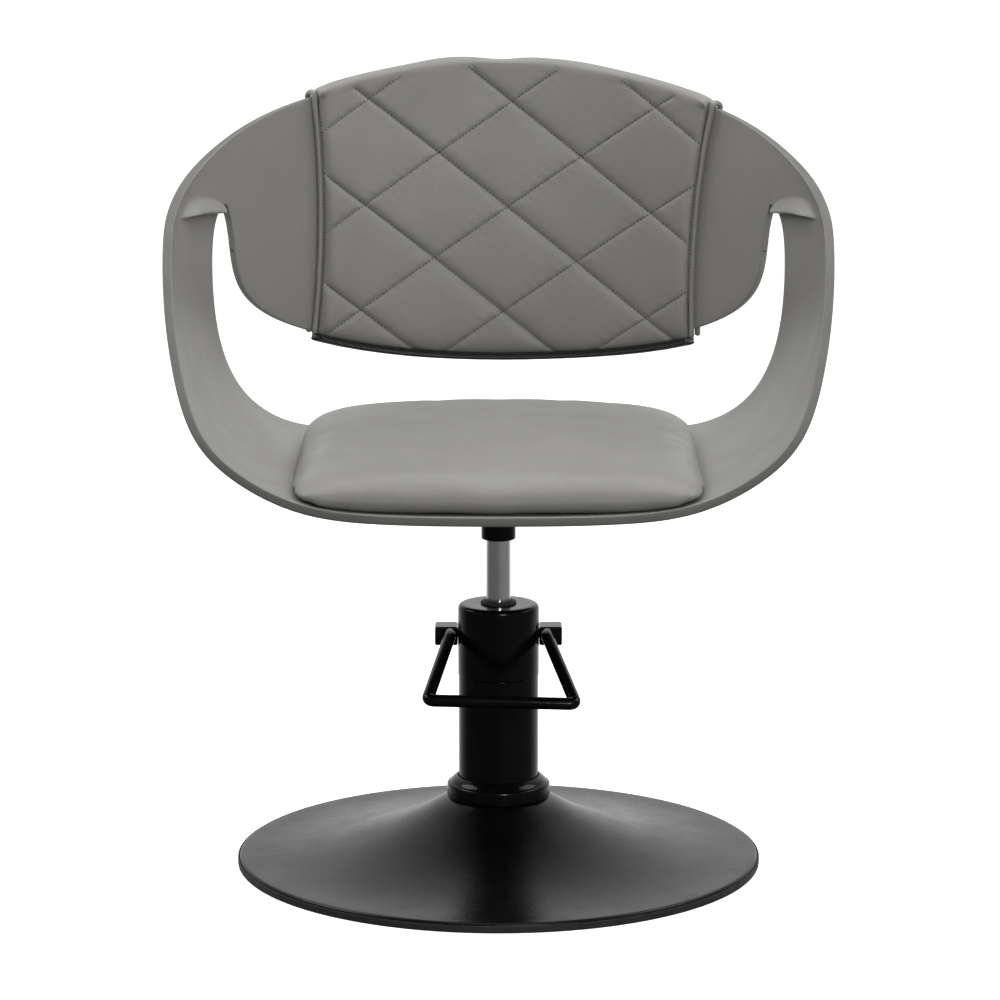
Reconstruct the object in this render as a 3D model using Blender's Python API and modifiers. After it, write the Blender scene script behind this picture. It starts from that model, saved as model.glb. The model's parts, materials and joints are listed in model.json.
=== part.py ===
"""Hydraulic styling chair: a moulded loop shell with a seat cushion and a slip-on quilted back
cover, on a foot-pumped hydraulic column and a trumpet disc base.

Units are metres. +Z is up, the sitter faces -Y, and the origin is on the floor under the swivel axis.
"""

import math

import bmesh
import bpy
import numpy as np
from mathutils import Vector
from mathutils.bvhtree import BVHTree

# Driving dimensions -----------------------------------------------------------------------------

GAP = 0.0003  # left between faces that touch on the real chair
SHELL_WIDTH = 0.724  # over the arms
SHELL_DEPTH = 0.511  # front lip to the top of the back
SHELL_WALL = 0.010
PAN_Z = 0.4315  # middle of the wall in the flat of the seat pan, with the lift at rest
BACK_RISE = 0.4305  # seat pan to the top edge of the back
BASE_DIAMETER = 0.580
BASE_CROWN_Z = 0.0735  # top of the trumpet, where the collar sits
PUMP_DIAMETER = 0.088
PUMP_TOP_Z = 0.2915
ROD_DIAMETER = 0.027
PLATE_SIZE = 0.180  # square steel plate under the seat pan
BOLT_DIAMETER = 0.008
PEDAL_WIDTH = 0.166
PEDAL_REACH = 0.130  # column axis to the middle of the foot bar
PEDAL_SKEW = 0.005  # the foot bar is bent this far off the column's centre line
CUSHION_WIDTH = 0.446
CUSHION_DEPTH = 0.428
COVER_WIDTH = 0.440  # quilted back cover at its lower edge, over the piping

# Derived places ---------------------------------------------------------------------------------

HALF_WALL = SHELL_WALL / 2
SHELL_HALF = (SHELL_WIDTH - SHELL_WALL) / 2
LIP_Y = -0.268
BASE_RADIUS = BASE_DIAMETER / 2
PUMP_RADIUS = PUMP_DIAMETER / 2
ROD_RADIUS = ROD_DIAMETER / 2
PLATE_THICK = 0.006
PLATE_TOP_Z = PAN_Z - HALF_WALL - GAP
PLATE_BOTTOM_Z = PLATE_TOP_Z - PLATE_THICK
BOLT_PITCH = 0.72 * PLATE_SIZE
BOARD_THICK = 0.012

BALLAST_BOTTOM_Z = 0.003
BALLAST_TOP_Z = 0.013
FLANGE_TOP_Z = 0.0215
FLANGE_RADIUS = PUMP_RADIUS + 0.023
FLANGE_BOLT_CIRCLE = PUMP_RADIUS + 0.012
SEAM_Z = 0.2115  # joint between the lower tube and the pump head
TUBE_WALL = 0.003
HEAD_RADIUS = PUMP_RADIUS + 0.0007
HEAD_WALL = 0.0037
HEAD_CEILING_Z = PUMP_TOP_Z - HEAD_WALL - 0.002
CYLINDER_RADIUS = ROD_RADIUS + 0.0065
CYLINDER_BORE = ROD_RADIUS + 0.0035
WIPER_TOP_Z = PUMP_TOP_Z + 0.0025
SOCKET_RADIUS = ROD_RADIUS + 0.0055
SOCKET_BOTTOM_Z = WIPER_TOP_Z + 0.070
PISTON_BOTTOM_Z = 0.125
PISTON_TOP_Z = 0.145

# The pedal shaft, its finger and the booster plunger share the ring of room round the cylinder.
HEAD_ROOM = HEAD_RADIUS - HEAD_WALL - CYLINDER_RADIUS
SHAFT_RADIUS = 0.26 * HEAD_ROOM
FINGER_HUB_RADIUS = SHAFT_RADIUS + 0.105 * HEAD_ROOM
SHAFT_Y = CYLINDER_RADIUS + FINGER_HUB_RADIUS + 0.03 * HEAD_ROOM
SHAFT_Z = 0.2515
FINGER_REACH = 0.405 * HEAD_ROOM  # shaft axis to the plunger axis
FINGER_TIP = 0.53 * HEAD_ROOM
FINGER_HALF_HEIGHT = 0.0020
FINGER_HALF_WIDTH = 0.004
PLUNGER_RADIUS = 0.114 * HEAD_ROOM
PLUNGER_FOOT_Z = SHAFT_Z + 0.252 * HEAD_ROOM
PLUNGER_LENGTH = 0.016
BARREL_WALL = 0.057 * HEAD_ROOM
SPRING_WIRE_RADIUS = 0.030 * HEAD_ROOM
SPRING_TURNS = 3
SPRING_PITCH = 0.0024
LUG_INNER_X = HEAD_RADIUS + 0.0004
LUG_OUTER_X = 0.0705
PEDAL_RADIUS = 0.0068
PEDAL_BAR_Z = 0.2105

# Materials --------------------------------------------------------------------------------------


def material(name, colour, roughness, metallic=0.0):
    made = bpy.data.materials.new(name)
    made.use_nodes = True
    shader = made.node_tree.nodes["Principled BSDF"]
    shader.inputs["Base Color"].default_value = (*colour, 1.0)
    shader.inputs["Roughness"].default_value = roughness
    shader.inputs["Metallic"].default_value = metallic
    return made


def make_materials():
    return {
        "shell": material("moulded_grey_shell", (0.205, 0.202, 0.185), 0.48),
        "vinyl": material("grey_vinyl", (0.215, 0.210, 0.196), 0.50),
        "piping": material("grey_piping", (0.190, 0.186, 0.172), 0.45),
        "zip": material("black_zip_tape", (0.012, 0.012, 0.012), 0.80),
        "foam": material("cream_foam", (0.70, 0.66, 0.52), 0.95),
        "wood": material("birch_plywood", (0.55, 0.38, 0.22), 0.70),
        "gloss_black": material("gloss_black_paint", (0.006, 0.006, 0.006), 0.22),
        "satin_black": material("satin_black_paint", (0.012, 0.012, 0.012), 0.42),
        "rubber": material("black_rubber", (0.010, 0.010, 0.010), 0.70),
        "chrome": material("chrome_plate", (0.62, 0.62, 0.62), 0.14, 1.0),
        "steel": material("machined_steel", (0.45, 0.45, 0.44), 0.35, 1.0),
        "bronze": material("bearing_bronze", (0.48, 0.30, 0.13), 0.40, 1.0),
    }


# Modelling helpers ------------------------------------------------------------------------------


def start_scene():
    for obj in list(bpy.data.objects):
        bpy.data.objects.remove(obj, do_unlink=True)
    parts = bpy.data.collections.new("styling_chair")
    cutters = bpy.data.collections.new("cutters")
    cutters.hide_render = True
    for collection in (parts, cutters):
        bpy.context.scene.collection.children.link(collection)
    return parts, cutters


PARTS, CUTTERS = start_scene()
MATERIALS = make_materials()


def add_object(name, data, finish, parent=None, smooth=True):
    obj = bpy.data.objects.new(name, data)
    PARTS.objects.link(obj)
    data.materials.append(MATERIALS[finish])
    obj.parent = parent
    if smooth and isinstance(data, bpy.types.Mesh):
        data.shade_smooth()
        data.set_sharp_from_angle(angle=math.radians(35))
    return obj


def add_pivot(name, location, parent=None):
    pivot = bpy.data.objects.new(name, None)
    pivot.location = location
    pivot.parent = parent
    PARTS.objects.link(pivot)
    return pivot


def mesh_from(name, fill):
    """A mesh of what fill(bm) makes, with its normals pointing out."""
    bm = bmesh.new()
    fill(bm)
    bmesh.ops.recalc_face_normals(bm, faces=bm.faces)
    mesh = bpy.data.meshes.new(name)
    bm.to_mesh(mesh)
    bm.free()
    return mesh


def turned(name, profile, finish, parent=None, steps=48, closed=True):
    """A turned piece. The profile's (radius, z) points run down its outer side.

    A closed profile stays clear of the axis. An open one starts and ends on it.
    """

    def fill(bm):
        points = [bm.verts.new((radius, 0.0, z)) for radius, z in profile]
        pairs = list(zip(points, points[1:]))
        if closed:
            pairs.append((points[-1], points[0]))
        for first, second in pairs:
            bm.edges.new((first, second))

    obj = add_object(name, mesh_from(name, fill), finish, parent, smooth=False)
    screw = obj.modifiers.new("turn", "SCREW")
    screw.steps = screw.render_steps = steps
    screw.use_merge_vertices = True
    screw.merge_threshold = 0.00005
    screw.use_smooth_shade = True
    return obj


def box_mesh(name, size, centre):
    def fill(bm):
        bmesh.ops.create_cube(bm, size=1.0)
        bmesh.ops.scale(bm, vec=size, verts=bm.verts)
        bmesh.ops.translate(bm, vec=centre, verts=bm.verts)

    return mesh_from(name, fill)


def rounded_box(name, size, centre, radius, finish, parent=None, segments=2):
    obj = add_object(name, box_mesh(name, size, centre), finish, parent, smooth=False)
    bevel = obj.modifiers.new("round", "BEVEL")
    bevel.width = radius
    bevel.segments = segments
    return obj


def cylinder_mesh(name, radius, start, end, sides):
    axis = Vector(end) - Vector(start)
    turn = axis.to_track_quat("Z", "Y").to_matrix().to_4x4()
    turn.translation = (Vector(start) + Vector(end)) / 2

    def fill(bm):
        bmesh.ops.create_cone(
            bm,
            cap_ends=True,
            segments=sides,
            radius1=radius,
            radius2=radius,
            depth=axis.length,
            matrix=turn,
        )

    return mesh_from(name, fill)


def cut_holes(obj, radius, spans, sides=14):
    """Cuts one round hole for each (start, end) pair."""
    for number, (start, end) in enumerate(spans, 1):
        name = f"{obj.name}_hole_{number}"
        cutter = bpy.data.objects.new(name, cylinder_mesh(name, radius, start, end, sides))
        cutter.hide_render = True
        cutter.display_type = "WIRE"
        CUTTERS.objects.link(cutter)
        hole = obj.modifiers.new(f"hole_{number}", "BOOLEAN")
        hole.operation = "DIFFERENCE"
        hole.object = cutter


def bar_curve(name, points, radius, finish, parent=None, resolution=2):
    curve = bpy.data.curves.new(name, "CURVE")
    curve.dimensions = "3D"
    curve.bevel_depth = radius
    curve.bevel_resolution = resolution
    curve.use_fill_caps = True
    spline = curve.splines.new("POLY")
    spline.points.add(len(points) - 1)
    for slot, point in zip(spline.points, points):
        slot.co = (*point, 1.0)
    return add_object(name, curve, finish, parent)


def smooth_step(value, low, high):
    t = min(max((value - low) / (high - low), 0.0), 1.0)
    return t * t * (3 - 2 * t)


def loft_mesh(name, rings, strip_caps=False):
    """Closed rings of the same length, bridged in order, with both ends capped.

    With strip_caps each ring is a thin section: out along one face and back along the other, so
    its cap is a strip of quads between the two.
    """

    def fill(bm):
        loops = [[bm.verts.new(point) for point in ring] for ring in rings]
        count = len(rings[0])
        for lower, upper in zip(loops, loops[1:]):
            for i in range(count):
                j = (i + 1) % count
                bm.faces.new((lower[i], lower[j], upper[j], upper[i]))
        for loop in (loops[0], loops[-1]):
            if not strip_caps:
                bm.faces.new(loop)
                continue
            for i in range(count // 2 - 1):
                bm.faces.new((loop[i], loop[i + 1], loop[count - 2 - i], loop[count - 1 - i]))
        bmesh.ops.triangulate(bm, faces=[face for face in bm.faces if len(face.verts) > 4])

    return mesh_from(name, fill)


# The shell's surface ----------------------------------------------------------------------------

# The wall's middle surface runs in a loop: seat, arm, back, arm. Each station crosses that loop
# from the rim to the edge of the opening between seat and back: x, y, z in millimetres at the
# nominal size, from the middle of the seat round one arm to the middle of the back.
NOMINAL_HALF = 357.0
NOMINAL_DEPTH = 511.0
NOMINAL_RISE = 430.5
NOMINAL_LIP_Y = -268.0
NOMINAL_PAN_Z = 431.5

SEAT_AND_ARM = [
    ((0, -268, 435), (0, -35, 431), (0, 196, 447)),
    ((125, -266, 437), (112, -35, 433), (98, 194, 448)),
    ((215, -256, 450), (196, -34, 443), (176, 186, 451)),
    ((283, -234, 484), (262, -34, 467), (233, 166, 461)),
    ((316, -208, 518), (302, -36, 503), (267, 138, 482)),
    ((339, -155, 575), (328, -30, 553), (296, 104, 521)),
    ((352.5, -90, 640), (342, -4, 613), (314, 86, 577)),
    ((357, -30, 697), (347, 24, 672), (320, 86, 645)),
]
# On the back the depth follows from the wrap, so these hold x and z only.
BACK = [
    ((353, 730), (343, 716), (317, 699)),
    ((335, 761), (329, 743), (307, 718)),
    ((289, 799), (307, 758), (299, 694)),
    ((215, 830), (264, 738), (290, 628)),
    ((120, 851), (172, 713), (221, 571)),
    ((0, 862), (0, 701), (0, 540.5)),
]
WRAP_CENTRE_Y = -30.0
WRAP_POWER = 2.3
BACK_FOOT_Z = 535.0
BACK_FOOT_Y = 209.0


def wrap_depth(x, z):
    """How far back the upper shell lies at x and z, nominal millimetres: a boxy ellipse in plan."""
    rise = max(z - BACK_FOOT_Z, 0.0) / (NOMINAL_PAN_Z + NOMINAL_RISE - BACK_FOOT_Z)
    centre = BACK_FOOT_Y + (NOMINAL_LIP_Y + NOMINAL_DEPTH - BACK_FOOT_Y) * rise**1.5
    across = min(abs(x) / NOMINAL_HALF, 1.0)
    return WRAP_CENTRE_Y + (centre - WRAP_CENTRE_Y) * (1 - across**WRAP_POWER) ** (1 / WRAP_POWER)


def to_size(x, y, z):
    """A nominal point in metres, at the driving dimensions."""
    return (
        x / NOMINAL_HALF * SHELL_HALF,
        LIP_Y + (y - NOMINAL_LIP_Y) / NOMINAL_DEPTH * SHELL_DEPTH,
        PAN_Z + (z - NOMINAL_PAN_Z) / NOMINAL_RISE * BACK_RISE,
    )


def back_point(x, z, out=0.0):
    """A point on the back panel at x and z in metres, out metres in front of the middle surface."""
    nominal_x = x / SHELL_HALF * NOMINAL_HALF
    nominal_z = NOMINAL_PAN_Z + (z - PAN_Z) / BACK_RISE * NOMINAL_RISE
    step = 0.5

    def deep(dx, dz):
        return np.array(to_size(nominal_x + dx, wrap_depth(nominal_x + dx, nominal_z + dz), nominal_z + dz))

    normal = np.cross(deep(step, 0) - deep(-step, 0), deep(0, step) - deep(0, -step))
    return deep(0, 0) + out * normal / np.linalg.norm(normal)


def periodic_spline(knots, values, period):
    """A smooth closed curve through the values at the knots, as a function of one number."""
    knots = np.asarray(knots)
    values = np.asarray(values)
    count = len(knots)
    gaps = np.diff(np.append(knots, knots[0] + period))
    slopes = (np.roll(values, -1, 0) - values) / gaps[:, None]
    system = np.zeros((count, count))
    for i in range(count):
        before = (i - 1) % count
        system[i, before] += gaps[before]
        system[i, i] += 2 * (gaps[before] + gaps[i])
        system[i, (i + 1) % count] += gaps[i]
    bends = np.linalg.solve(system, 6 * (slopes - np.roll(slopes, 1, 0)))

    def at(place):
        place = (place - knots[0]) % period + knots[0]
        i = int(np.searchsorted(knots, place, side="right")) - 1
        j = (i + 1) % count
        t = place - knots[i]
        left = gaps[i] - t
        curve = (bends[i] * left**3 + bends[j] * t**3) / (6 * gaps[i])
        line = (values[i] / gaps[i] - bends[i] * gaps[i] / 6) * left
        return curve + line + (values[j] / gaps[i] - bends[j] * gaps[i] / 6) * t

    return at


def shell_stations():
    """The stations of one side in order, then those of the other side mirrored back to the seat."""
    half = [list(station) for station in SEAT_AND_ARM]
    half += [[(x, wrap_depth(x, z), z) for x, z in station] for station in BACK]
    mirrored = [[(-x, y, z) for x, y, z in station] for station in half[-2:0:-1]]
    return np.array(half + mirrored, float)


RIM_SEGMENTS = 84  # round the whole loop
WALL_ROWS = 9  # from the rim to the opening
FIRST_BACK_STATION = len(SEAT_AND_ARM)


def shell_grid():
    """Points of the wall's middle surface, RIM_SEGMENTS by WALL_ROWS + 1, in metres."""
    stations = shell_stations()
    steps = np.linalg.norm(np.roll(stations, -1, 0) - stations, axis=2).mean(axis=1)
    knots = np.concatenate([[0.0], np.cumsum(steps)[:-1]])
    period = steps.sum()
    round_loop = periodic_spline(knots, stations.reshape(len(stations), -1), period)
    on_back = (knots[FIRST_BACK_STATION], knots[FIRST_BACK_STATION + 2])
    grid = []
    for i in range(RIM_SEGMENTS):
        place = period * i / RIM_SEGMENTS
        rim, middle, edge = round_loop(place).reshape(3, 3)
        wrap = smooth_step(min(place, period - place), *on_back)
        row = []
        for j in range(WALL_ROWS + 1):
            v = j / WALL_ROWS
            x, y, z = rim * (1 - v) * (1 - 2 * v) + middle * 4 * v * (1 - v) + edge * v * (2 * v - 1)
            y += wrap * (wrap_depth(x, z) - y)
            x, y, z = to_size(x, y, z)
            row.append((x, y, flatten_pan(x, y, z)))
        grid.append(row)
    return grid


def flatten_pan(x, y, z):
    """Levels the pan over the mounting plate, so that the plate bears on a flat."""
    reach = PLATE_SIZE / 2
    if z > PAN_Z + 0.08:
        return z
    side = 1 - smooth_step(abs(x), reach + 0.020, reach + 0.080)
    along = 1 - smooth_step(abs(y), reach + 0.030, reach + 0.090)
    return z + side * along * (PAN_Z - z)


def make_shell(parent):
    def fill(bm):
        points = [[bm.verts.new(point) for point in row] for row in SHELL_GRID]
        for i, row in enumerate(points):
            following = points[(i + 1) % len(points)]
            for j in range(WALL_ROWS):
                bm.faces.new((row[j], row[j + 1], following[j + 1], following[j]))

    mesh = mesh_from("seat_shell", fill)
    shell = add_object("seat_shell", mesh, "shell", parent)
    wall = shell.modifiers.new("wall", "SOLIDIFY")
    wall.thickness = SHELL_WALL
    wall.offset = 0.0
    wall.use_even_offset = True
    return shell


def tree_of(obj):
    graph = bpy.context.evaluated_depsgraph_get()
    return BVHTree.FromObject(obj, graph)


# Base and column --------------------------------------------------------------------------------


def make_base():
    skirt = BASE_RADIUS - 0.002
    wall = 0.0035
    bore = PUMP_RADIUS + 0.002
    crown = PUMP_RADIUS + 0.012
    flare = [t / 7 for t in range(8)]
    rim_z = 0.0105
    outer = [
        (crown + (skirt - 0.002 - crown) * t, rim_z + (BASE_CROWN_Z - rim_z) * (1 - t) ** 2.2) for t in flare
    ]
    inner = [(radius, z - wall) for radius, z in reversed(outer[:-1:2])]
    edge = [(skirt, 0.0085), (skirt, 0.004), (skirt - wall, 0.004), (skirt - wall, 0.0070)]
    profile = [(bore, BASE_CROWN_Z), *outer, *edge, *inner, (bore, BASE_CROWN_Z - wall)]
    turned("base_disc", profile, "satin_black", steps=52)

    groove = 0.0037
    ring = [
        (BASE_RADIUS, 0.0080),
        (BASE_RADIUS, 0.0010),
        (BASE_RADIUS - 0.001, 0.0),
        (skirt - wall - 0.005, 0.0),
        (skirt - wall - 0.005, 0.0065),
        (skirt - wall - GAP, 0.0065),
        (skirt - wall - GAP, groove),
        (skirt + GAP, groove),
        (skirt + GAP, 0.0080),
    ]
    turned("base_rubber_ring", ring, "rubber", steps=52)

    plate_radius = 0.80 * BASE_RADIUS
    plate = [
        (0.0, BALLAST_TOP_Z),
        (0.52 * BASE_RADIUS, BALLAST_TOP_Z),
        (plate_radius, 0.0078),
        (plate_radius, BALLAST_BOTTOM_Z),
        (0.0, BALLAST_BOTTOM_Z),
    ]
    ballast = turned("ballast_plate", plate, "satin_black", steps=32, closed=False)

    collar_radius = PUMP_RADIUS + 0.0130
    collar_bore = PUMP_RADIUS + GAP
    bottom = BASE_CROWN_Z + GAP
    collar = [
        (collar_bore + 0.0010, bottom + 0.0240),
        (collar_bore + 0.0060, bottom + 0.0205),
        (collar_radius - 0.0035, bottom + 0.0170),
        (collar_radius - 0.0008, bottom + 0.0155),
        (collar_radius, bottom + 0.0135),
        (collar_radius, bottom + 0.0010),
        (collar_radius - 0.001, bottom),
        (collar_bore, bottom),
    ]
    turned("base_collar", collar, "gloss_black", steps=44)
    return ballast


def make_column(ballast):
    flange_bottom = BALLAST_TOP_Z + GAP
    bore = PUMP_RADIUS - TUBE_WALL
    tube = [
        (PUMP_RADIUS, SEAM_Z - GAP),
        (PUMP_RADIUS, FLANGE_TOP_Z),
        (FLANGE_RADIUS, FLANGE_TOP_Z),
        (FLANGE_RADIUS, flange_bottom),
        (bore, flange_bottom),
        (bore, SEAM_Z - GAP),
    ]
    pump_tube = turned("pump_tube", tube, "gloss_black", steps=44)

    fillet = 0.005
    port = CYLINDER_RADIUS - 0.0005
    arc = [math.radians(22.5 * k) for k in range(5)]
    corner = [
        (HEAD_RADIUS - fillet + fillet * math.sin(a), PUMP_TOP_Z - fillet + fillet * math.cos(a)) for a in arc
    ]
    head = [
        (port, PUMP_TOP_Z),
        *corner,
        (HEAD_RADIUS, SEAM_Z + 0.0008),
        (HEAD_RADIUS - 0.0008, SEAM_Z),
        (HEAD_RADIUS - HEAD_WALL, SEAM_Z),
        (HEAD_RADIUS - HEAD_WALL, HEAD_CEILING_Z),
        (port, HEAD_CEILING_Z),
    ]
    pump_head = turned("pump_head", head, "gloss_black", steps=44)
    across = HEAD_RADIUS + 0.01
    ends = ((-across, SHAFT_Y, SHAFT_Z), (across, SHAFT_Y, SHAFT_Z))
    cut_holes(pump_head, SHAFT_RADIUS + GAP, [ends], sides=16)

    foot = BALLAST_TOP_Z + GAP
    cylinder_top = HEAD_CEILING_Z - GAP
    cylinder = [
        (CYLINDER_BORE, cylinder_top),
        (CYLINDER_RADIUS, cylinder_top),
        (CYLINDER_RADIUS, foot),
        (0.0, foot),
        (0.0, foot + 0.006),
        (CYLINDER_BORE, foot + 0.006),
    ]
    turned_cup("oil_cylinder", cylinder, "steel")

    bush_bottom = cylinder_top - 0.022
    bush = [
        (ROD_RADIUS + GAP, PUMP_TOP_Z - GAP),
        (port - GAP, PUMP_TOP_Z - GAP),
        (port - GAP, cylinder_top + 2 * GAP),
        (CYLINDER_BORE - GAP, cylinder_top + 2 * GAP),
        (CYLINDER_BORE - GAP, bush_bottom),
        (ROD_RADIUS + GAP, bush_bottom),
    ]
    turned("guide_bush", bush, "bronze", steps=24)

    wiper = [
        (ROD_RADIUS + GAP, WIPER_TOP_Z),
        (ROD_RADIUS + 0.0020, WIPER_TOP_Z),
        (ROD_RADIUS + 0.0055, PUMP_TOP_Z + 0.0025),
        (ROD_RADIUS + 0.0065, PUMP_TOP_Z + GAP),
        (ROD_RADIUS + GAP, PUMP_TOP_Z + GAP),
    ]
    turned("wiper_seal", wiper, "rubber", steps=24)

    bolt_spots = []
    for quarter in range(4):
        angle = math.radians(45 + 90 * quarter)
        bolt_spots.append((FLANGE_BOLT_CIRCLE * math.cos(angle), FLANGE_BOLT_CIRCLE * math.sin(angle)))
    shank = 0.004
    spans = [((x, y, -0.01), (x, y, FLANGE_TOP_Z + 0.01)) for x, y in bolt_spots]
    cut_holes(pump_tube, shank + GAP, spans)
    cut_holes(ballast, shank + GAP, spans)
    for number, (x, y) in enumerate(bolt_spots, 1):
        head_bottom = FLANGE_TOP_Z + GAP
        tip_z = BALLAST_BOTTOM_Z + 0.001
        hex_bolt(f"flange_bolt_{number}", (x, y), head_bottom, 0.0055, tip_z, shank, "steel")


def turned_cup(name, profile, finish, parent=None, steps=24):
    """A turned cup: its profile meets the axis at the two ends of its floor."""
    rim, outer_top, outer_foot, floor_under, floor_over, bore_foot = profile
    order = [floor_over, bore_foot, rim, outer_top, outer_foot, floor_under]
    return turned(name, order, finish, parent, steps, closed=False)


def hex_bolt(name, spot, head_face_z, head_height, tip_z, radius, finish, parent=None):
    """A hexagon-head bolt whose head bears on head_face_z, with its shank towards tip_z."""
    x, y = spot
    way = 1.0 if tip_z < head_face_z else -1.0
    head_end = head_face_z + way * head_height
    hexagon = radius * 1.6

    def ring(size, z, sides=12):
        turn = [2 * math.pi * k / sides for k in range(sides)]
        if size > radius:
            corner = [math.cos(math.pi / 6) / math.cos((a % (math.pi / 3)) - math.pi / 6) for a in turn]
        else:
            corner = [1.0] * sides
        return [(x + size * c * math.cos(a), y + size * c * math.sin(a), z) for a, c in zip(turn, corner)]

    head = [ring(hexagon, head_end), ring(hexagon, head_face_z)]
    rings = head + [ring(radius, head_face_z), ring(radius, tip_z)]
    return add_object(name, loft_mesh(name, rings), finish, parent)


# Pedal ------------------------------------------------------------------------------------------


def rounded_route(corners, radius, steps=5):
    """The corners joined by straight runs, with each inner corner turned to an arc of about radius."""
    points = [Vector(corners[0])]
    for before, corner, after in zip(corners, corners[1:], corners[2:]):
        corner = Vector(corner)
        start = corner + (Vector(before) - corner).normalized() * radius
        end = corner + (Vector(after) - corner).normalized() * radius
        for k in range(steps + 1):
            t = k / steps
            points.append(start * (1 - t) ** 2 + corner * 2 * t * (1 - t) + end * t**2)
    points.append(Vector(corners[-1]))
    return points


def make_pedal():
    pivot = add_pivot("pedal_pivot", (0.0, SHAFT_Y, SHAFT_Z))
    lug_depth = 0.030
    lug_height = 0.021
    shaft_end = LUG_OUTER_X - 0.002
    shaft = cylinder_mesh("pedal_shaft", SHAFT_RADIUS, (-shaft_end, 0, 0), (shaft_end, 0, 0), 16)
    add_object("pedal_shaft", shaft, "steel", pivot)
    for side, name in ((-1, "left"), (1, "right")):
        size = (LUG_OUTER_X - LUG_INNER_X, lug_depth, lug_height)
        centre = (side * (LUG_OUTER_X + LUG_INNER_X) / 2, -0.004, 0.0)
        lug = rounded_box(f"pedal_lug_{name}", size, centre, 0.002, "gloss_black", pivot)
        inside = side * (LUG_INNER_X - 0.01)
        outside = side * (LUG_OUTER_X - 0.0017)
        cutter_shift = Vector((0.0, SHAFT_Y, SHAFT_Z))
        span = (Vector((inside, 0, 0)) + cutter_shift, Vector((outside, 0, 0)) + cutter_shift)
        cut_holes(lug, SHAFT_RADIUS + GAP, [span], sides=16)

    half = PEDAL_WIDTH / 2 - PEDAL_RADIUS
    root_x = (LUG_INNER_X + LUG_OUTER_X) / 2 - 0.004
    root_y = -0.004 - lug_depth / 2 - GAP
    bar_y = -PEDAL_REACH - SHAFT_Y
    bar_z = PEDAL_BAR_Z - SHAFT_Z
    corners = [
        (-root_x, root_y, 0.003),
        (-root_x, root_y - 0.012, 0.003),
        (PEDAL_SKEW - half, bar_y, bar_z),
        (PEDAL_SKEW + half, bar_y, bar_z),
        (root_x, root_y - 0.012, 0.003),
        (root_x, root_y, 0.003),
    ]
    route = rounded_route(corners, 0.011)
    bar_curve("pedal_bar", route, PEDAL_RADIUS, "gloss_black", pivot, resolution=3)

    add_object("pump_finger", finger_mesh(), "steel", pivot)


def finger_mesh():
    """The small cam finger on the shaft: a hub with a bore, and a nose that points backwards."""
    hub = FINGER_HUB_RADIUS
    bore = SHAFT_RADIUS + GAP

    def ring(x, nose):
        points = []
        for k in range(16):
            angle = 2 * math.pi * (k + 0.5) / 16
            y, z = hub * math.cos(angle), hub * math.sin(angle)
            if nose and abs(z) < hub * 0.35 and y > 0:
                y, z = FINGER_TIP, math.copysign(FINGER_HALF_HEIGHT, z)
            points.append((x, y, z))
        return points

    def fill(bm):
        loops = []
        for x in (-FINGER_HALF_WIDTH, FINGER_HALF_WIDTH):
            loops.append([bm.verts.new(point) for point in ring(x, True)])
            inner = []
            for k in range(16):
                angle = 2 * math.pi * (k + 0.5) / 16
                inner.append(bm.verts.new((x, bore * math.cos(angle), bore * math.sin(angle))))
            loops.append(inner)
        outer_a, inner_a, outer_b, inner_b = loops
        for i in range(16):
            j = (i + 1) % 16
            bm.faces.new((outer_a[i], outer_a[j], outer_b[j], outer_b[i]))
            bm.faces.new((inner_a[i], inner_a[j], inner_b[j], inner_b[i]))
            bm.faces.new((outer_a[i], outer_a[j], inner_a[j], inner_a[i]))
            bm.faces.new((outer_b[i], outer_b[j], inner_b[j], inner_b[i]))

    return mesh_from("pump_finger", fill)


def make_plunger():
    """The booster plunger that the finger lifts, its fixed barrel, and the spring on the shaft."""
    pivot = add_pivot("plunger_axis", (0.0, SHAFT_Y + FINGER_REACH, PLUNGER_FOOT_Z))
    plunger = cylinder_mesh("booster_plunger", PLUNGER_RADIUS, (0, 0, 0), (0, 0, PLUNGER_LENGTH), 14)
    add_object("booster_plunger", plunger, "steel", pivot)

    barrel_top = HEAD_CEILING_Z - GAP - PLUNGER_FOOT_Z
    barrel_foot = 0.0075
    barrel_ceiling = 0.0025
    barrel = [
        (0.0, barrel_top),
        (PLUNGER_RADIUS + BARREL_WALL, barrel_top),
        (PLUNGER_RADIUS + BARREL_WALL, barrel_foot),
        (PLUNGER_RADIUS + GAP, barrel_foot),
        (PLUNGER_RADIUS + GAP, barrel_top - barrel_ceiling),
        (0.0, barrel_top - barrel_ceiling),
    ]
    turned("booster_barrel", barrel, "steel", pivot, steps=14, closed=False)

    steps = 9
    coil = SHAFT_RADIUS + SPRING_WIRE_RADIUS + 0.024 * HEAD_ROOM
    start_x = FINGER_HALF_WIDTH + 0.0024
    points = []
    for k in range(SPRING_TURNS * steps + 1):
        angle = 2 * math.pi * k / steps
        y, z = SHAFT_Y + coil * math.cos(angle), SHAFT_Z + coil * math.sin(angle)
        points.append((start_x + SPRING_PITCH * k / steps, y, z))
    bar_curve("pedal_return_spring", points, SPRING_WIRE_RADIUS, "steel", resolution=1)


# Ram and seat mounting --------------------------------------------------------------------------


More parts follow.
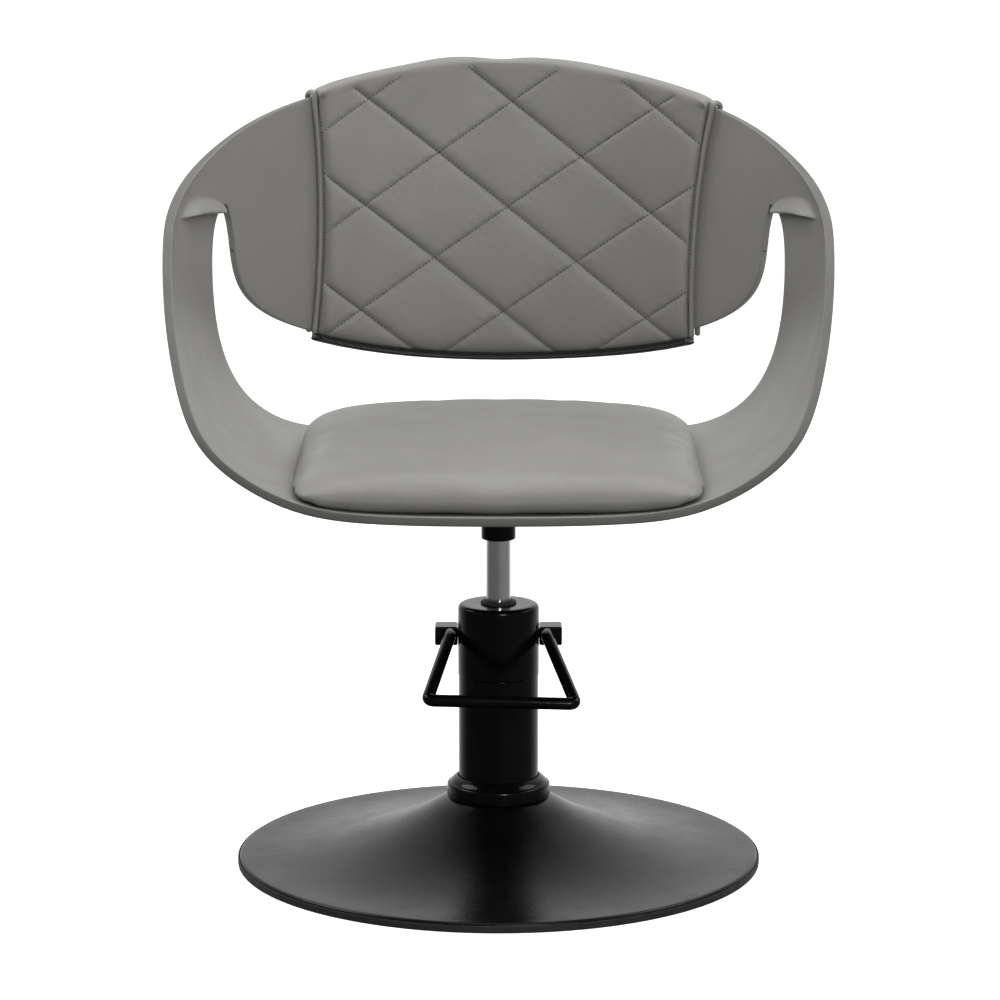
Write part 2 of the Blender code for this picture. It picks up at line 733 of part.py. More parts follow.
def make_piston(lift):
    groove_low = PISTON_BOTTOM_Z + 0.007
    groove_high = PISTON_BOTTOM_Z + 0.012
    radius = CYLINDER_BORE - GAP
    groove = radius - 0.003
    piston = [
        (0.0, PISTON_TOP_Z),
        (radius, PISTON_TOP_Z),
        (radius, groove_high),
        (groove, groove_high),
        (groove, groove_low),
        (radius, groove_low),
        (radius, PISTON_BOTTOM_Z),
        (0.0, PISTON_BOTTOM_Z),
    ]
    turned("piston_head", piston, "steel", lift, steps=24, closed=False)
    seal = [
        (groove + GAP, groove_high - GAP),
        (radius - 0.0001, groove_high - GAP),
        (radius - 0.0001, groove_low + GAP),
        (groove + GAP, groove_low + GAP),
    ]
    turned("piston_seal", seal, "rubber", lift, steps=24)
    washer = [
        (ROD_RADIUS - 0.001, PISTON_TOP_Z + GAP + 0.002),
        (ROD_RADIUS - 0.001, PISTON_TOP_Z + GAP),
        (0.005, PISTON_TOP_Z + GAP),
        (0.005, PISTON_TOP_Z + GAP + 0.002),
    ]
    turned("thrust_washer", washer, "bronze", lift, steps=24)


def make_mounting(seat):
    socket_top = PLATE_BOTTOM_Z - GAP
    taper = 0.0015
    rod_foot = PISTON_TOP_Z + 0.002 + 2 * GAP
    rod = [
        (0.0, socket_top - 0.003),
        (ROD_RADIUS - taper - 0.001, socket_top - 0.003),
        (ROD_RADIUS - taper, socket_top - 0.004),
        (ROD_RADIUS, SOCKET_BOTTOM_Z + 0.002),
        (ROD_RADIUS, rod_foot + 0.001),
        (ROD_RADIUS - 0.001, rod_foot),
        (0.0, rod_foot),
    ]
    turned("ram_rod", rod, "chrome", seat, steps=24, closed=False)
    socket = [
        (ROD_RADIUS - taper + GAP, socket_top),
        (SOCKET_RADIUS, socket_top),
        (SOCKET_RADIUS, SOCKET_BOTTOM_Z + 0.001),
        (SOCKET_RADIUS - 0.001, SOCKET_BOTTOM_Z),
        (ROD_RADIUS + GAP, SOCKET_BOTTOM_Z),
        (ROD_RADIUS + GAP, SOCKET_BOTTOM_Z + 0.002),
        (ROD_RADIUS - taper + GAP, socket_top - 0.004),
    ]
    turned("taper_socket", socket, "gloss_black", seat, steps=24)

    size = (PLATE_SIZE, PLATE_SIZE, PLATE_THICK)
    centre = (0.0, 0.0, (PLATE_TOP_Z + PLATE_BOTTOM_Z) / 2)
    plate = rounded_box("mounting_plate", size, centre, 0.001, "gloss_black", seat, segments=1)
    bolt_radius = BOLT_DIAMETER / 2
    reach = BOLT_PITCH / 2
    spots = [(-reach, -reach), (reach, -reach), (reach, reach), (-reach, reach)]
    spans = [((x, y, PLATE_BOTTOM_Z - 0.02), (x, y, PAN_Z + 0.06)) for x, y in spots]
    cut_holes(plate, bolt_radius + GAP, spans)
    board_bottom = PAN_Z + HALF_WALL + 0.0008
    for number, (x, y) in enumerate(spots, 1):
        tip = board_bottom + BOARD_THICK - 0.001
        head_face = PLATE_BOTTOM_Z - GAP
        hex_bolt(f"seat_bolt_{number}", (x, y), head_face, 0.0055, tip, bolt_radius, "steel", seat)
        insert = [
            (bolt_radius + GAP, board_bottom + BOARD_THICK),
            (bolt_radius + 0.0028, board_bottom + BOARD_THICK),
            (bolt_radius + 0.0028, board_bottom + 0.0005),
            (bolt_radius + GAP, board_bottom + 0.0005),
        ]
        place = add_pivot(f"insert_place_{number}", (x, y, 0.0), seat)
        turned(f"threaded_insert_{number}", insert, "steel", place, steps=16)
    return spans, board_bottom


# Soft parts and trim ----------------------------------------------------------------------------


CUSHION_FRONT_Y = LIP_Y + 0.005
CUSHION_MIDDLE_Y = CUSHION_FRONT_Y + CUSHION_DEPTH / 2
CUSHION_SIDES = 40


def footprint(scale_x, scale_y, power=7.0):
    """The cushion's outline in plan: a soft-cornered rectangle."""
    points = []
    for k in range(CUSHION_SIDES):
        angle = 2 * math.pi * k / CUSHION_SIDES
        c, s = math.cos(angle), math.sin(angle)
        x = CUSHION_WIDTH / 2 * scale_x * math.copysign(abs(c) ** (2 / power), c)
        y = CUSHION_MIDDLE_Y + CUSHION_DEPTH / 2 * scale_y * math.copysign(abs(s) ** (2 / power), s)
        points.append((x, y))
    return points


def pan_top(tree, x, y):
    hit = tree.ray_cast(Vector((x, y, PAN_Z + 0.20)), Vector((0, 0, -1)))[0]
    return PAN_Z + HALF_WALL if hit is None else hit.z


def crown_height(x, y):
    """Height of the cushion's top over the seat pan's flat: higher at the back, domed in the middle."""
    across = x / (CUSHION_WIDTH / 2)
    along = (y - CUSHION_MIDDLE_Y) / (CUSHION_DEPTH / 2)
    return 0.0535 + 0.0105 * along + 0.007 * (1 - across**2) * (1 - along**2)


def cushion_rings(tree, inset):
    """Rings of the cushion's outer form from the middle of its underside up and over to its crown."""
    rings = []
    under = 0.0012
    for scale in (0.30, 0.72, 0.975):
        rings.append([(x, y, pan_top(tree, x, y) + under + inset) for x, y in footprint(scale, scale)])
    for scale, part in ((1.0, 0.16), (1.0, 0.50), (0.985, 0.76), (0.93, 0.96)):
        shrink_x = scale - inset / (CUSHION_WIDTH / 2)
        shrink_y = scale - inset / (CUSHION_DEPTH / 2)
        ring = []
        for x, y in footprint(shrink_x, shrink_y):
            low = pan_top(tree, x, y) + under + inset
            high = PAN_Z + crown_height(x, y) - inset
            ring.append((x, y, low + (high - low) * part))
        rings.append(ring)
    for scale in (0.72, 0.36):
        rings.append([(x, y, PAN_Z + crown_height(x, y) - inset) for x, y in footprint(scale, scale)])
    return rings


def make_cushion(seat, shell_tree, spans, board_bottom):
    half_x, front, rear = 0.165, -0.200, 0.120
    columns, rows = 8, 6

    def board_fill(bm):
        layers = []
        for lift in (0.0, BOARD_THICK):
            layer = []
            for i in range(columns + 1):
                x = -half_x + 2 * half_x * i / columns
                line = []
                for j in range(rows + 1):
                    y = front + (rear - front) * j / rows
                    z = max(pan_top(shell_tree, x, y) + 0.0008, board_bottom)
                    line.append(bm.verts.new((x, y, z + lift)))
                layer.append(line)
            layers.append(layer)
        low, high = layers
        for i in range(columns):
            for j in range(rows):
                bm.faces.new((low[i][j], low[i][j + 1], low[i + 1][j + 1], low[i + 1][j]))
                bm.faces.new((high[i][j], high[i][j + 1], high[i + 1][j + 1], high[i + 1][j]))
        border = [(i, 0) for i in range(columns)] + [(columns, j) for j in range(rows)]
        border += [(i, rows) for i in range(columns, 0, -1)] + [(0, j) for j in range(rows, 0, -1)]
        for (i, j), (k, m) in zip(border, border[1:] + border[:1]):
            bm.faces.new((low[i][j], low[k][m], high[k][m], high[i][j]))

    board = add_object("seat_board", mesh_from("seat_board", board_fill), "wood", seat)
    cut_holes(board, BOLT_DIAMETER / 2 + 0.0028 + GAP, spans)

    cover_rings = cushion_rings(shell_tree, 0.0)
    foam_rings = cushion_rings(shell_tree, 0.0022)
    recess = board_recess(shell_tree, half_x + 0.001, front - 0.001, rear + 0.001)
    foam = add_object("seat_foam", loft_mesh("seat_foam", foam_rings), "foam", seat)
    cut_with(foam, recess)

    skin = cover_rings[2:]

    def skin_fill(bm):
        inner_rings = cushion_rings(shell_tree, 0.0018)[2:]
        outer = [[bm.verts.new(point) for point in ring] for ring in skin]
        inner = [[bm.verts.new(point) for point in ring] for ring in inner_rings]
        count = CUSHION_SIDES
        for layer in (outer, inner):
            for lower, upper in zip(layer, layer[1:]):
                for i in range(count):
                    j = (i + 1) % count
                    bm.faces.new((lower[i], lower[j], upper[j], upper[i]))
            bm.faces.new(layer[-1])
        for i in range(count):
            j = (i + 1) % count
            bm.faces.new((outer[0][i], outer[0][j], inner[0][j], inner[0][i]))
        bmesh.ops.triangulate(bm, faces=[face for face in bm.faces if len(face.verts) > 4])

    add_object("seat_cover", mesh_from("seat_cover", skin_fill), "vinyl", seat)


def board_recess(tree, half_x, front, rear):
    """A cutter a little larger than the seat board, open downwards."""

    def fill(bm):
        inner_x = half_x * 0.62
        spots = [(x, y) for x in (0.0, inner_x) for y in (front, (front + rear) / 2, rear)]
        top = max(pan_top(tree, x, y) for x, y in spots) + BOARD_THICK + 0.0022
        edge = max(pan_top(tree, half_x, y) for y in (front, 0.0, rear)) + BOARD_THICK + 0.0018
        stations = [(-half_x, edge), (-inner_x, top), (inner_x, top), (half_x, edge)]
        rings = []
        for x, z in stations:
            rings.append([(x, front, PAN_Z - 0.05), (x, rear, PAN_Z - 0.05), (x, rear, z), (x, front, z)])
        loops = [[bm.verts.new(point) for point in ring] for ring in rings]
        for lower, upper in zip(loops, loops[1:]):
            for i in range(4):
                j = (i + 1) % 4
                bm.faces.new((lower[i], lower[j], upper[j], upper[i]))
        bm.faces.new(loops[0])
        bm.faces.new(loops[-1])

    cutter = bpy.data.objects.new("board_recess", mesh_from("board_recess", fill))
    cutter.hide_render = True
    cutter.display_type = "WIRE"
    CUTTERS.objects.link(cutter)
    return cutter


def cut_with(obj, cutter):
    modifier = obj.modifiers.new(cutter.name, "BOOLEAN")
    modifier.operation = "DIFFERENCE"
    modifier.object = cutter


PIPING_RADIUS = 0.0033
COVER_SHIFT_TOP = 0.0165  # the slip-on cover hangs this far off centre at its top
COVER_SHIFT_FOOT = 0.005
COVER_FLARE = 0.022  # how much wider the cover is at its top
COVER_WAIST = 0.0075  # how far its side edges are drawn in at half height
COVER_DROOP = 0.007  # how far its lower right corner hangs down
PANEL_BACK = HALF_WALL + 0.0018  # quilted panel's back face, out from the wall's middle
PANEL_FRONT = PANEL_BACK + 0.0145
REAR_FRONT = -HALF_WALL - 0.0015
REAR_BACK = REAR_FRONT - 0.0030
COVER_COLUMNS = 16
COVER_ROWS = 11


def edge_height(grid, column, low_z):
    """Height of one edge of the back as a function of x, from the shell's own points."""
    edge = sorted((row[column][0], row[column][2]) for row in grid if row[column][2] > low_z)
    edge = [(x, z) for x, z in edge if abs(x) < 0.78 * SHELL_HALF]
    xs, zs = zip(*edge)
    return lambda x: float(np.interp(x, xs, zs))


SHELL_GRID = shell_grid()
back_top_z = edge_height(SHELL_GRID, 0, PAN_Z + 0.5 * BACK_RISE)
back_foot_z = edge_height(SHELL_GRID, WALL_ROWS, PAN_Z + 0.15 * BACK_RISE)


def cover_x(across, up):
    """x in the cover: across runs from -1 to 1 between its side edges, up from 0 to 1."""
    drawn_in = 4 * COVER_WAIST * up * (1 - up)
    half = (COVER_WIDTH + COVER_FLARE * up) / 2 - drawn_in - 2 * PIPING_RADIUS - GAP
    return half * across + COVER_SHIFT_FOOT + (COVER_SHIFT_TOP - COVER_SHIFT_FOOT) * up


def cover_foot_z(x, across):
    """The cover's lower edge follows the back's, and droops towards its right corner."""
    return back_foot_z(x) - COVER_DROOP * max(across, 0.0) ** 2


def cover_point(across, up, out, rise=0.0):
    """A point of the cover: up 0 is the back's lower edge and 1 its top edge, rise is added to z."""
    x = cover_x(across, up)
    height = back_top_z(x) - cover_foot_z(x, across)
    x = cover_x(across, min(up + rise / height, 1.0))
    foot, top = cover_foot_z(x, across), back_top_z(x)
    return Vector(back_point(x, foot + (top - foot) * up + rise, out))


def make_back_cover(seat):
    levels = [k / COVER_ROWS for k in range(COVER_ROWS + 1)]
    front_rings, rear_rings, tape_rings = [], [], []
    for k in range(COVER_COLUMNS + 1):
        across = -1 + 2 * k / COVER_COLUMNS
        front = [cover_point(across, up, PANEL_BACK) for up in levels]
        front += [
            cover_point(across, 1.0, PANEL_BACK, 0.0036),
            cover_point(across, 1.0, REAR_FRONT, 0.0036),
            cover_point(across, 1.0, REAR_FRONT, -0.0060),
            cover_point(across, 1.0, REAR_BACK, -0.0060),
            cover_point(across, 1.0, REAR_BACK * 0.8, 0.0068),
            cover_point(across, 1.0, PANEL_FRONT * 0.6, 0.0078),
            cover_point(across, 1.0, PANEL_FRONT, -0.0020),
        ]
        front += [cover_point(across, up, PANEL_FRONT) for up in reversed(levels[:-1])]
        front_rings.append(front)
        rear = [cover_point(across, up, REAR_FRONT, -0.0064) for up in levels]
        rear += [cover_point(across, up, REAR_BACK, -0.0064) for up in reversed(levels)]
        rear_rings.append(rear)
        tape = [
            cover_point(across, 0.0, PANEL_FRONT, -GAP),
            cover_point(across, 0.0, PANEL_FRONT - 0.002, -0.0060),
            cover_point(across, 0.0, HALF_WALL, -0.0085),
            cover_point(across, 0.0, -HALF_WALL, -0.0085),
            cover_point(across, 0.0, REAR_BACK, -0.0068),
            cover_point(across, 0.0, REAR_BACK, -0.0085),
            cover_point(across, 0.0, -HALF_WALL, -0.0100),
            cover_point(across, 0.0, HALF_WALL, -0.0100),
            cover_point(across, 0.0, PANEL_FRONT - 0.0008, -0.0075),
            cover_point(across, 0.0, PANEL_FRONT + 0.0015, -GAP),
        ]
        tape_rings.append(tape)
    add_object("back_quilted_panel", loft_mesh("back_quilted_panel", front_rings, True), "vinyl", seat)
    add_object("back_rear_panel", loft_mesh("back_rear_panel", rear_rings, True), "vinyl", seat)
    add_object("zip_tape", loft_mesh("zip_tape", tape_rings, True), "zip", seat)

    for side, name in ((-1, "left"), (1, "right")):
        bar_curve(f"piping_{name}", piping_route(side), PIPING_RADIUS, "piping", seat, resolution=2)


def piping_route(side):
    """Up the front edge of the cover, over the top of the back, and down its rear edge."""
    off = (PIPING_RADIUS + GAP) * side
    front = HALF_WALL + PIPING_RADIUS + 0.0010
    rear = -HALF_WALL - PIPING_RADIUS - 0.0010
    over = PIPING_RADIUS + 0.0014
    points = [(up, front, 0.0) for up in np.linspace(0.0, 0.97, 10)]
    points += [(1.0, front, over * 0.55), (1.0, front * 0.45, over)]
    points += [(1.0, rear * 0.45, over), (1.0, rear, over * 0.55)]
    points += [(up, rear, 0.0) for up in np.linspace(0.97, 0.0, 10)]
    route = []
    for up, out, rise in points:
        x = cover_x(side, up) + off
        foot, top = cover_foot_z(x, side), back_top_z(x)
        route.append(back_point(x, foot + (top - foot) * up + rise, out))
    return route


# Assembly ---------------------------------------------------------------------------------------


def main():
    ballast = make_base()
    make_column(ballast)
    make_pedal()
    make_plunger()
    lift = add_pivot("lift_axis", (0.0, 0.0, 0.0))
    make_piston(lift)
    seat = add_pivot("swivel_axis", (0.0, 0.0, 0.0), lift)
    spans, board_bottom = make_mounting(seat)
    shell = make_shell(seat)
    bpy.context.view_layer.update()
    shell_tree = tree_of(shell)
    cut_holes(shell, BOLT_DIAMETER / 2 + GAP, spans)
    make_cushion(seat, shell_tree, spans, board_bottom)
    make_back_cover(seat)


main()
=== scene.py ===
import json
import math

import bmesh
import bpy
import numpy as np
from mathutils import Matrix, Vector
from mathutils.bvhtree import BVHTree


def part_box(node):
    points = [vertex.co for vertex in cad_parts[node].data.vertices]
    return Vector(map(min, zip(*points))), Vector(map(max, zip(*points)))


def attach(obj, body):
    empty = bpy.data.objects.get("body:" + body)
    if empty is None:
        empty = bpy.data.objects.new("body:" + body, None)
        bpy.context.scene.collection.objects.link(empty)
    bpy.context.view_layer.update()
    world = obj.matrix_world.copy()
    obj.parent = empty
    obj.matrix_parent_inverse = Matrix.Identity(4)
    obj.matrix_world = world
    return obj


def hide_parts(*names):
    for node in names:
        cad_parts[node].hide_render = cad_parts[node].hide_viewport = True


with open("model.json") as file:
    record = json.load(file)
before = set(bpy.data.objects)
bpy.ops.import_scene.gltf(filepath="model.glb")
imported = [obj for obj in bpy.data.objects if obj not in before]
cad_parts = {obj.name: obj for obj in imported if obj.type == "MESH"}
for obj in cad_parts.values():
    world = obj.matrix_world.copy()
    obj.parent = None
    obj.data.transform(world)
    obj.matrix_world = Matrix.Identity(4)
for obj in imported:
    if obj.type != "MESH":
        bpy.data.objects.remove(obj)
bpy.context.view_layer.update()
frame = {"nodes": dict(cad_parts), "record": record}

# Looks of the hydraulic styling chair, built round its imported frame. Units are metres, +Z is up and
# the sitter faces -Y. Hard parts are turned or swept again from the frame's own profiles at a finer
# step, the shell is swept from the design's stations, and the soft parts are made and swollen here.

PLATE_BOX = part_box("mounting_plate")
GAP = 0.0003  # left between faces that touch on the real chair
SHELL_WALL = 0.010
HALF_WALL = SHELL_WALL / 2
PAN_Z = PLATE_BOX[1].z + GAP + HALF_WALL  # middle of the wall in the flat of the seat pan


# Node materials ----------


class Nodes:
    """A short way to write one Principled material's nodes."""

    def __init__(self, name, colour, roughness, metallic=0.0):
        self.material = bpy.data.materials.new(name)
        self.material.use_nodes = True
        self.tree = self.material.node_tree
        self.shader = self.tree.nodes["Principled BSDF"]
        self.shader.inputs["Roughness"].default_value = roughness
        self.shader.inputs["Metallic"].default_value = metallic
        self.shader.inputs["Base Color"].default_value = (*colour, 1.0)
        self.colour = colour
        self.roughness = roughness
        self.place = self.tree.nodes.new("ShaderNodeTexCoord").outputs["Object"]

    def add(self, kind, inputs=(), **settings):
        node = self.tree.nodes.new(kind)
        for key, value in settings.items():
            setattr(node, key, value)
        for key, value in dict(inputs).items():
            if isinstance(value, bpy.types.NodeSocket):
                self.tree.links.new(value, node.inputs[key])
            else:
                node.inputs[key].default_value = value
        return node

    def noise(self, scale, detail=4.0, roughness=0.55, place=None):
        inputs = {"Vector": place or self.place, "Scale": scale, "Detail": detail, "Roughness": roughness}
        return self.add("ShaderNodeTexNoise", inputs).outputs["Fac"]

    def cells(self, scale, feature="F1", place=None):
        inputs = {"Vector": place or self.place, "Scale": scale}
        return self.add("ShaderNodeTexVoronoi", inputs, feature=feature).outputs["Distance"]

    def ribs(self, scale, direction):
        inputs = {"Vector": self.place, "Scale": scale}
        return self.add("ShaderNodeTexWave", inputs, bands_direction=direction).outputs["Fac"]

    def stretched(self, x, y, z):
        return self.add("ShaderNodeMapping", {"Vector": self.place, "Scale": (x, y, z)}).outputs["Vector"]

    def span(self, value, low, high, new_low=0.0, new_high=1.0):
        inputs = {"Value": value, "From Min": low, "From Max": high, "To Min": new_low, "To Max": new_high}
        return self.add("ShaderNodeMapRange", inputs).outputs["Result"]

    def math(self, operation, first, second):
        return self.add("ShaderNodeMath", {0: first, 1: second}, operation=operation).outputs[0]

    def mix(self, factor, first, second, blend="MIX"):
        node = self.add("ShaderNodeMix", data_type="RGBA", blend_type=blend)
        for socket, value in ((node.inputs[0], factor), (node.inputs[6], first), (node.inputs[7], second)):
            if isinstance(value, bpy.types.NodeSocket):
                self.tree.links.new(value, socket)
            else:
                socket.default_value = value
        return node.outputs[2]

    def shade(self, factor):
        return tuple(min(channel * factor, 1.0) for channel in self.colour) + (1.0,)

    def mottled(self, scale, dark, light, worn=None, wear=0.0):
        """Colour that drifts between two shades, and lightens along convex edges by wear."""
        drift = self.span(self.noise(scale), 0.35, 0.65)
        colour = self.mix(drift, self.shade(dark), self.shade(light))
        if worn is not None:
            edge = self.add("ShaderNodeNewGeometry").outputs["Pointiness"]
            rubbed = self.math("MULTIPLY", self.span(edge, 0.54, 0.62), self.span(self.noise(90), 0.4, 0.7))
            colour = self.mix(self.math("MULTIPLY", rubbed, wear), colour, (*worn, 1.0))
        self.tree.links.new(colour, self.shader.inputs["Base Color"])

    def rough(self, source, spread):
        """Roughness that follows source, a value of 0.3 to 0.7, by plus or minus spread."""
        low, high = self.roughness - spread, self.roughness + spread
        self.tree.links.new(self.span(source, 0.3, 0.7, low, high), self.shader.inputs["Roughness"])

    def bump(self, *layers):
        """Stacks (height, distance in metres) layers into the shader's normal."""
        normal = None
        for height, distance in layers:
            inputs = {"Height": height, "Distance": distance, "Strength": 1.0}
            if normal is not None:
                inputs["Normal"] = normal
            normal = self.add("ShaderNodeBump", inputs).outputs["Normal"]
        self.tree.links.new(normal, self.shader.inputs["Normal"])

    def set(self, **values):
        for key, value in values.items():
            self.shader.inputs[key.replace("_", " ")].default_value = value


def moulded_shell():
    """Integral-skin polyurethane: an even satin with a fine pebble from the mould."""
    n = Nodes("moulded_shell", (0.205, 0.201, 0.187), 0.44)
    n.mottled(5.0, 0.96, 1.04, worn=(0.26, 0.255, 0.24), wear=0.15)
    n.rough(n.noise(14.0, 6.0), 0.05)
    n.bump((n.cells(1400.0), 0.00010), (n.noise(260.0, 3.0), 0.00012), (n.noise(9.0, 2.0), 0.0009))
    n.set(Specular_IOR_Level=0.45)
    return n.material


def rim_painted_shade():
    """The shell's rim faces: the same polyurethane, a little rougher, with its colour darkened as painted
    shade.
    """
    # Painted shade: this colour is about 0.6 of the shell's, so the rim's end faces show darker than the
    # light makes them.
    n = Nodes("rim_painted_shade", (0.125, 0.122, 0.113), 0.58)
    n.mottled(30.0, 0.92, 1.08)
    n.rough(n.noise(60.0, 6.0), 0.06)
    n.bump((n.noise(420.0, 3.0), 0.00012), (n.noise(40.0, 2.0), 0.0003))
    n.set(Specular_IOR_Level=0.35)
    return n.material


def vinyl(name, colour, roughness=0.46):
    """Upholstery vinyl: pebbled leather grain, soft creases, a little polish where it is rubbed."""
    n = Nodes(name, colour, roughness)
    n.mottled(7.0, 0.955, 1.045, worn=tuple(1.25 * c for c in colour), wear=0.3)
    n.rough(n.noise(22.0, 5.0), 0.06)
    pebble = n.cells(950.0, "SMOOTH_F1")
    pores = n.noise(2600.0, 2.0)
    creases = n.noise(55.0, 5.0, 0.6)
    n.bump((pebble, 0.00022), (pores, 0.00005), (creases, 0.00035))
    n.set(Sheen_Weight=0.12, Sheen_Roughness=0.4, Specular_IOR_Level=0.42)
    return n.material


def gloss_black():
    """Gloss powder coat on steel: orange peel and a haze of fine dust."""
    n = Nodes("gloss_black_coat", (0.0022, 0.0022, 0.0022), 0.16)
    n.mottled(60.0, 0.8, 1.35, worn=(0.05, 0.05, 0.05), wear=0.5)
    n.rough(n.noise(35.0, 7.0, 0.65), 0.06)
    n.bump((n.noise(420.0, 1.0), 0.00006), (n.cells(160.0, "SMOOTH_F1"), 0.00005))
    n.set(Specular_IOR_Level=0.14)
    return n.material


def satin_disc():
    """Satin powder coat on the spun base: fine orange peel, faint spinning rings, dust."""
    n = Nodes("satin_black_coat", (0.0018, 0.0018, 0.0018), 0.27)
    n.mottled(25.0, 0.85, 1.3, worn=(0.06, 0.06, 0.06), wear=0.5)
    n.rough(n.noise(18.0, 8.0, 0.7), 0.05)
    n.bump((n.noise(700.0, 2.0), 0.00008), (n.cells(330.0), 0.00005), (n.noise(12.0, 2.0), 0.0003))
    n.set(Specular_IOR_Level=0.16)
    return n.material


def rubber():
    n = Nodes("black_rubber", (0.012, 0.012, 0.0115), 0.72)
    n.mottled(40.0, 0.8, 1.6, worn=(0.035, 0.034, 0.032), wear=0.6)
    n.rough(n.noise(60.0, 5.0), 0.08)
    n.bump((n.noise(900.0, 3.0), 0.00015), (n.noise(90.0, 3.0), 0.0002))
    return n.material


def chrome():
    """Hard chrome on a ground rod: very fine circumferential scratches and a trace of oil."""
    n = Nodes("hard_chrome", (0.60, 0.60, 0.595), 0.16, 1.0)
    n.mottled(30.0, 0.93, 1.04)
    rings = n.noise(1.0, 3.0, place=n.stretched(12.0, 12.0, 2600.0))
    n.rough(n.noise(45.0, 6.0), 0.05)
    n.bump((rings, 0.00001))
    return n.material


def steel(name="machined_steel", colour=(0.43, 0.43, 0.42), roughness=0.34):
    n = Nodes(name, colour, roughness, 1.0)
    n.mottled(55.0, 0.8, 1.1)
    n.rough(n.noise(120.0, 6.0), 0.09)
    n.bump((n.noise(1.0, 4.0, place=n.stretched(60.0, 60.0, 1800.0)), 0.00004), (n.noise(500.0), 0.00004))
    return n.material


def wood():
    """Birch plywood: long grain on the faces and thin plies on the edges."""
    n = Nodes("birch_plywood", (0.55, 0.38, 0.22), 0.62)
    grain = n.noise(1.0, 8.0, 0.6, place=n.stretched(14.0, 420.0, 420.0))
    plies = n.noise(1.0, 1.0, place=n.stretched(3.0, 3.0, 900.0))
    colour = n.mix(n.span(grain, 0.3, 0.7), n.shade(0.72), n.shade(1.15))
    colour = n.mix(n.math("MULTIPLY", n.span(plies, 0.45, 0.55), 0.35), colour, n.shade(0.6))
    n.tree.links.new(colour, n.shader.inputs["Base Color"])
    n.rough(grain, 0.1)
    n.bump((grain, 0.0002))
    return n.material


def foam():
    n = Nodes("seat_foam", (0.70, 0.66, 0.52), 0.95)
    n.mottled(20.0, 0.9, 1.05)
    cells = n.cells(700.0)
    n.rough(cells, 0.04)
    n.bump((cells, 0.0006), (n.noise(1200.0), 0.0002))
    return n.material


def zip_cloth():
    """Woven polyester tape: two crossing sets of fine ribs."""
    n = Nodes("zip_cloth", (0.014, 0.014, 0.014), 0.85)
    n.mottled(300.0, 0.7, 1.5)
    warp = n.ribs(420.0, "X")
    weft = n.ribs(420.0, "Z")
    weave = n.math("MULTIPLY", warp, weft)
    n.rough(weave, 0.05)
    n.bump((weave, 0.00025), (n.noise(2000.0), 0.0001))
    return n.material


def thread():
    """Bonded nylon thread, its twist as fine slanted ribs."""
    n = Nodes("stitching_thread", (0.030, 0.029, 0.027), 0.6)
    n.mottled(400.0, 0.8, 1.2)
    twist = n.ribs(900.0, "DIAGONAL")
    n.rough(n.noise(500.0), 0.08)
    n.bump((twist, 0.0001))
    return n.material


def zip_teeth():
    n = Nodes("zip_teeth", (0.05, 0.05, 0.05), 0.35)
    n.mottled(900.0, 0.7, 1.6)
    n.rough(n.noise(300.0), 0.08)
    n.bump((n.noise(1500.0), 0.00005))
    return n.material


GREY_VINYL = (0.205, 0.201, 0.188)
LOOKS = {
    "shell": moulded_shell(),
    # edge: the rim's look, the shell's polyurethane darkened as painted shade
    "edge": rim_painted_shade(),
    "vinyl": vinyl("grey_vinyl", GREY_VINYL),
    "piping": vinyl("grey_piping", tuple(0.96 * c for c in GREY_VINYL), 0.42),
    "gloss_black": gloss_black(),
    "disc_black": satin_disc(),
    "ballast": satin_disc(),
    "rubber": rubber(),
    "chrome": chrome(),
    "steel": steel(),
    "bronze": steel("bearing_bronze", (0.48, 0.30, 0.13), 0.38),
    "plywood": wood(),
    "foam": foam(),
    "zip": zip_cloth(),
    "thread": thread(),
    "teeth": zip_teeth(),
}


def finish_frame_nodes():
    """Every node of the frame that stays on show takes the look of its slot."""
    for part in frame["record"]["subparts"]:
        mesh = frame["nodes"][part["node"]].data
        mesh.materials.clear()
        mesh.materials.append(LOOKS[part["material_slot"]])


# Mesh helpers ----------


def add_piece(name, mesh, look, body, slot, *stands_for, sharp=35.0):
    """A visible piece on a body, in place of the frame's nodes that stands_for names."""
    piece = bpy.data.objects.new(name, mesh)
    bpy.context.scene.collection.objects.link(piece)
    mesh.materials.append(LOOKS[look])
    mesh.shade_smooth()
    mesh.set_sharp_from_angle(angle=math.radians(sharp))
    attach(piece, body)
    if stands_for:
        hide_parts(*stands_for)
    return piece


def quads_mesh(name, grid, closed_rows, closed_columns, caps=()):
    """A mesh of a grid of points, rows by columns by 3. caps names rows closed with one face."""
    rows, columns = grid.shape[:2]
    index = np.arange(rows * columns).reshape(rows, columns)
    faces = []
    for i in range(rows if closed_rows else rows - 1):
        k = (i + 1) % rows
        for j in range(columns if closed_columns else columns - 1):
            m = (j + 1) % columns
            faces.append((index[i, j], index[i, m], index[k, m], index[k, j]))
    for row in caps:
        faces.append(tuple(index[row]))
    mesh = bpy.data.meshes.new(name)
    mesh.from_pydata(grid.reshape(-1, 3).tolist(), [], [tuple(int(v) for v in face) for face in faces])
    bm = bmesh.new()
    bm.from_mesh(mesh)
    bmesh.ops.remove_doubles(bm, verts=bm.verts, dist=1e-6)
    bmesh.ops.recalc_face_normals(bm, faces=bm.faces)
    bm.to_mesh(mesh)
    bm.free()
    return mesh


def smooth_step(value, low, high):
    t = np.clip((value - low) / (high - low), 0.0, 1.0)
    return t * t * (3 - 2 * t)


def hermite(t, start, start_slope, end, end_slope):
    """The cubic from start to end with the given slopes, at t from 0 to 1."""
    from_start = (2 * t**3 - 3 * t**2 + 1) * start + (t**3 - 2 * t**2 + t) * start_slope
    return from_start + (-2 * t**3 + 3 * t**2) * end + (t**3 - t**2) * end_slope


def corner_curve(start, corner, end, steps):
    """Points from start to end round a corner."""
    places = np.linspace(0, 1, steps + 1)
    return [start * (1 - t) ** 2 + corner * 2 * t * (1 - t) + end * t**2 for t in places]


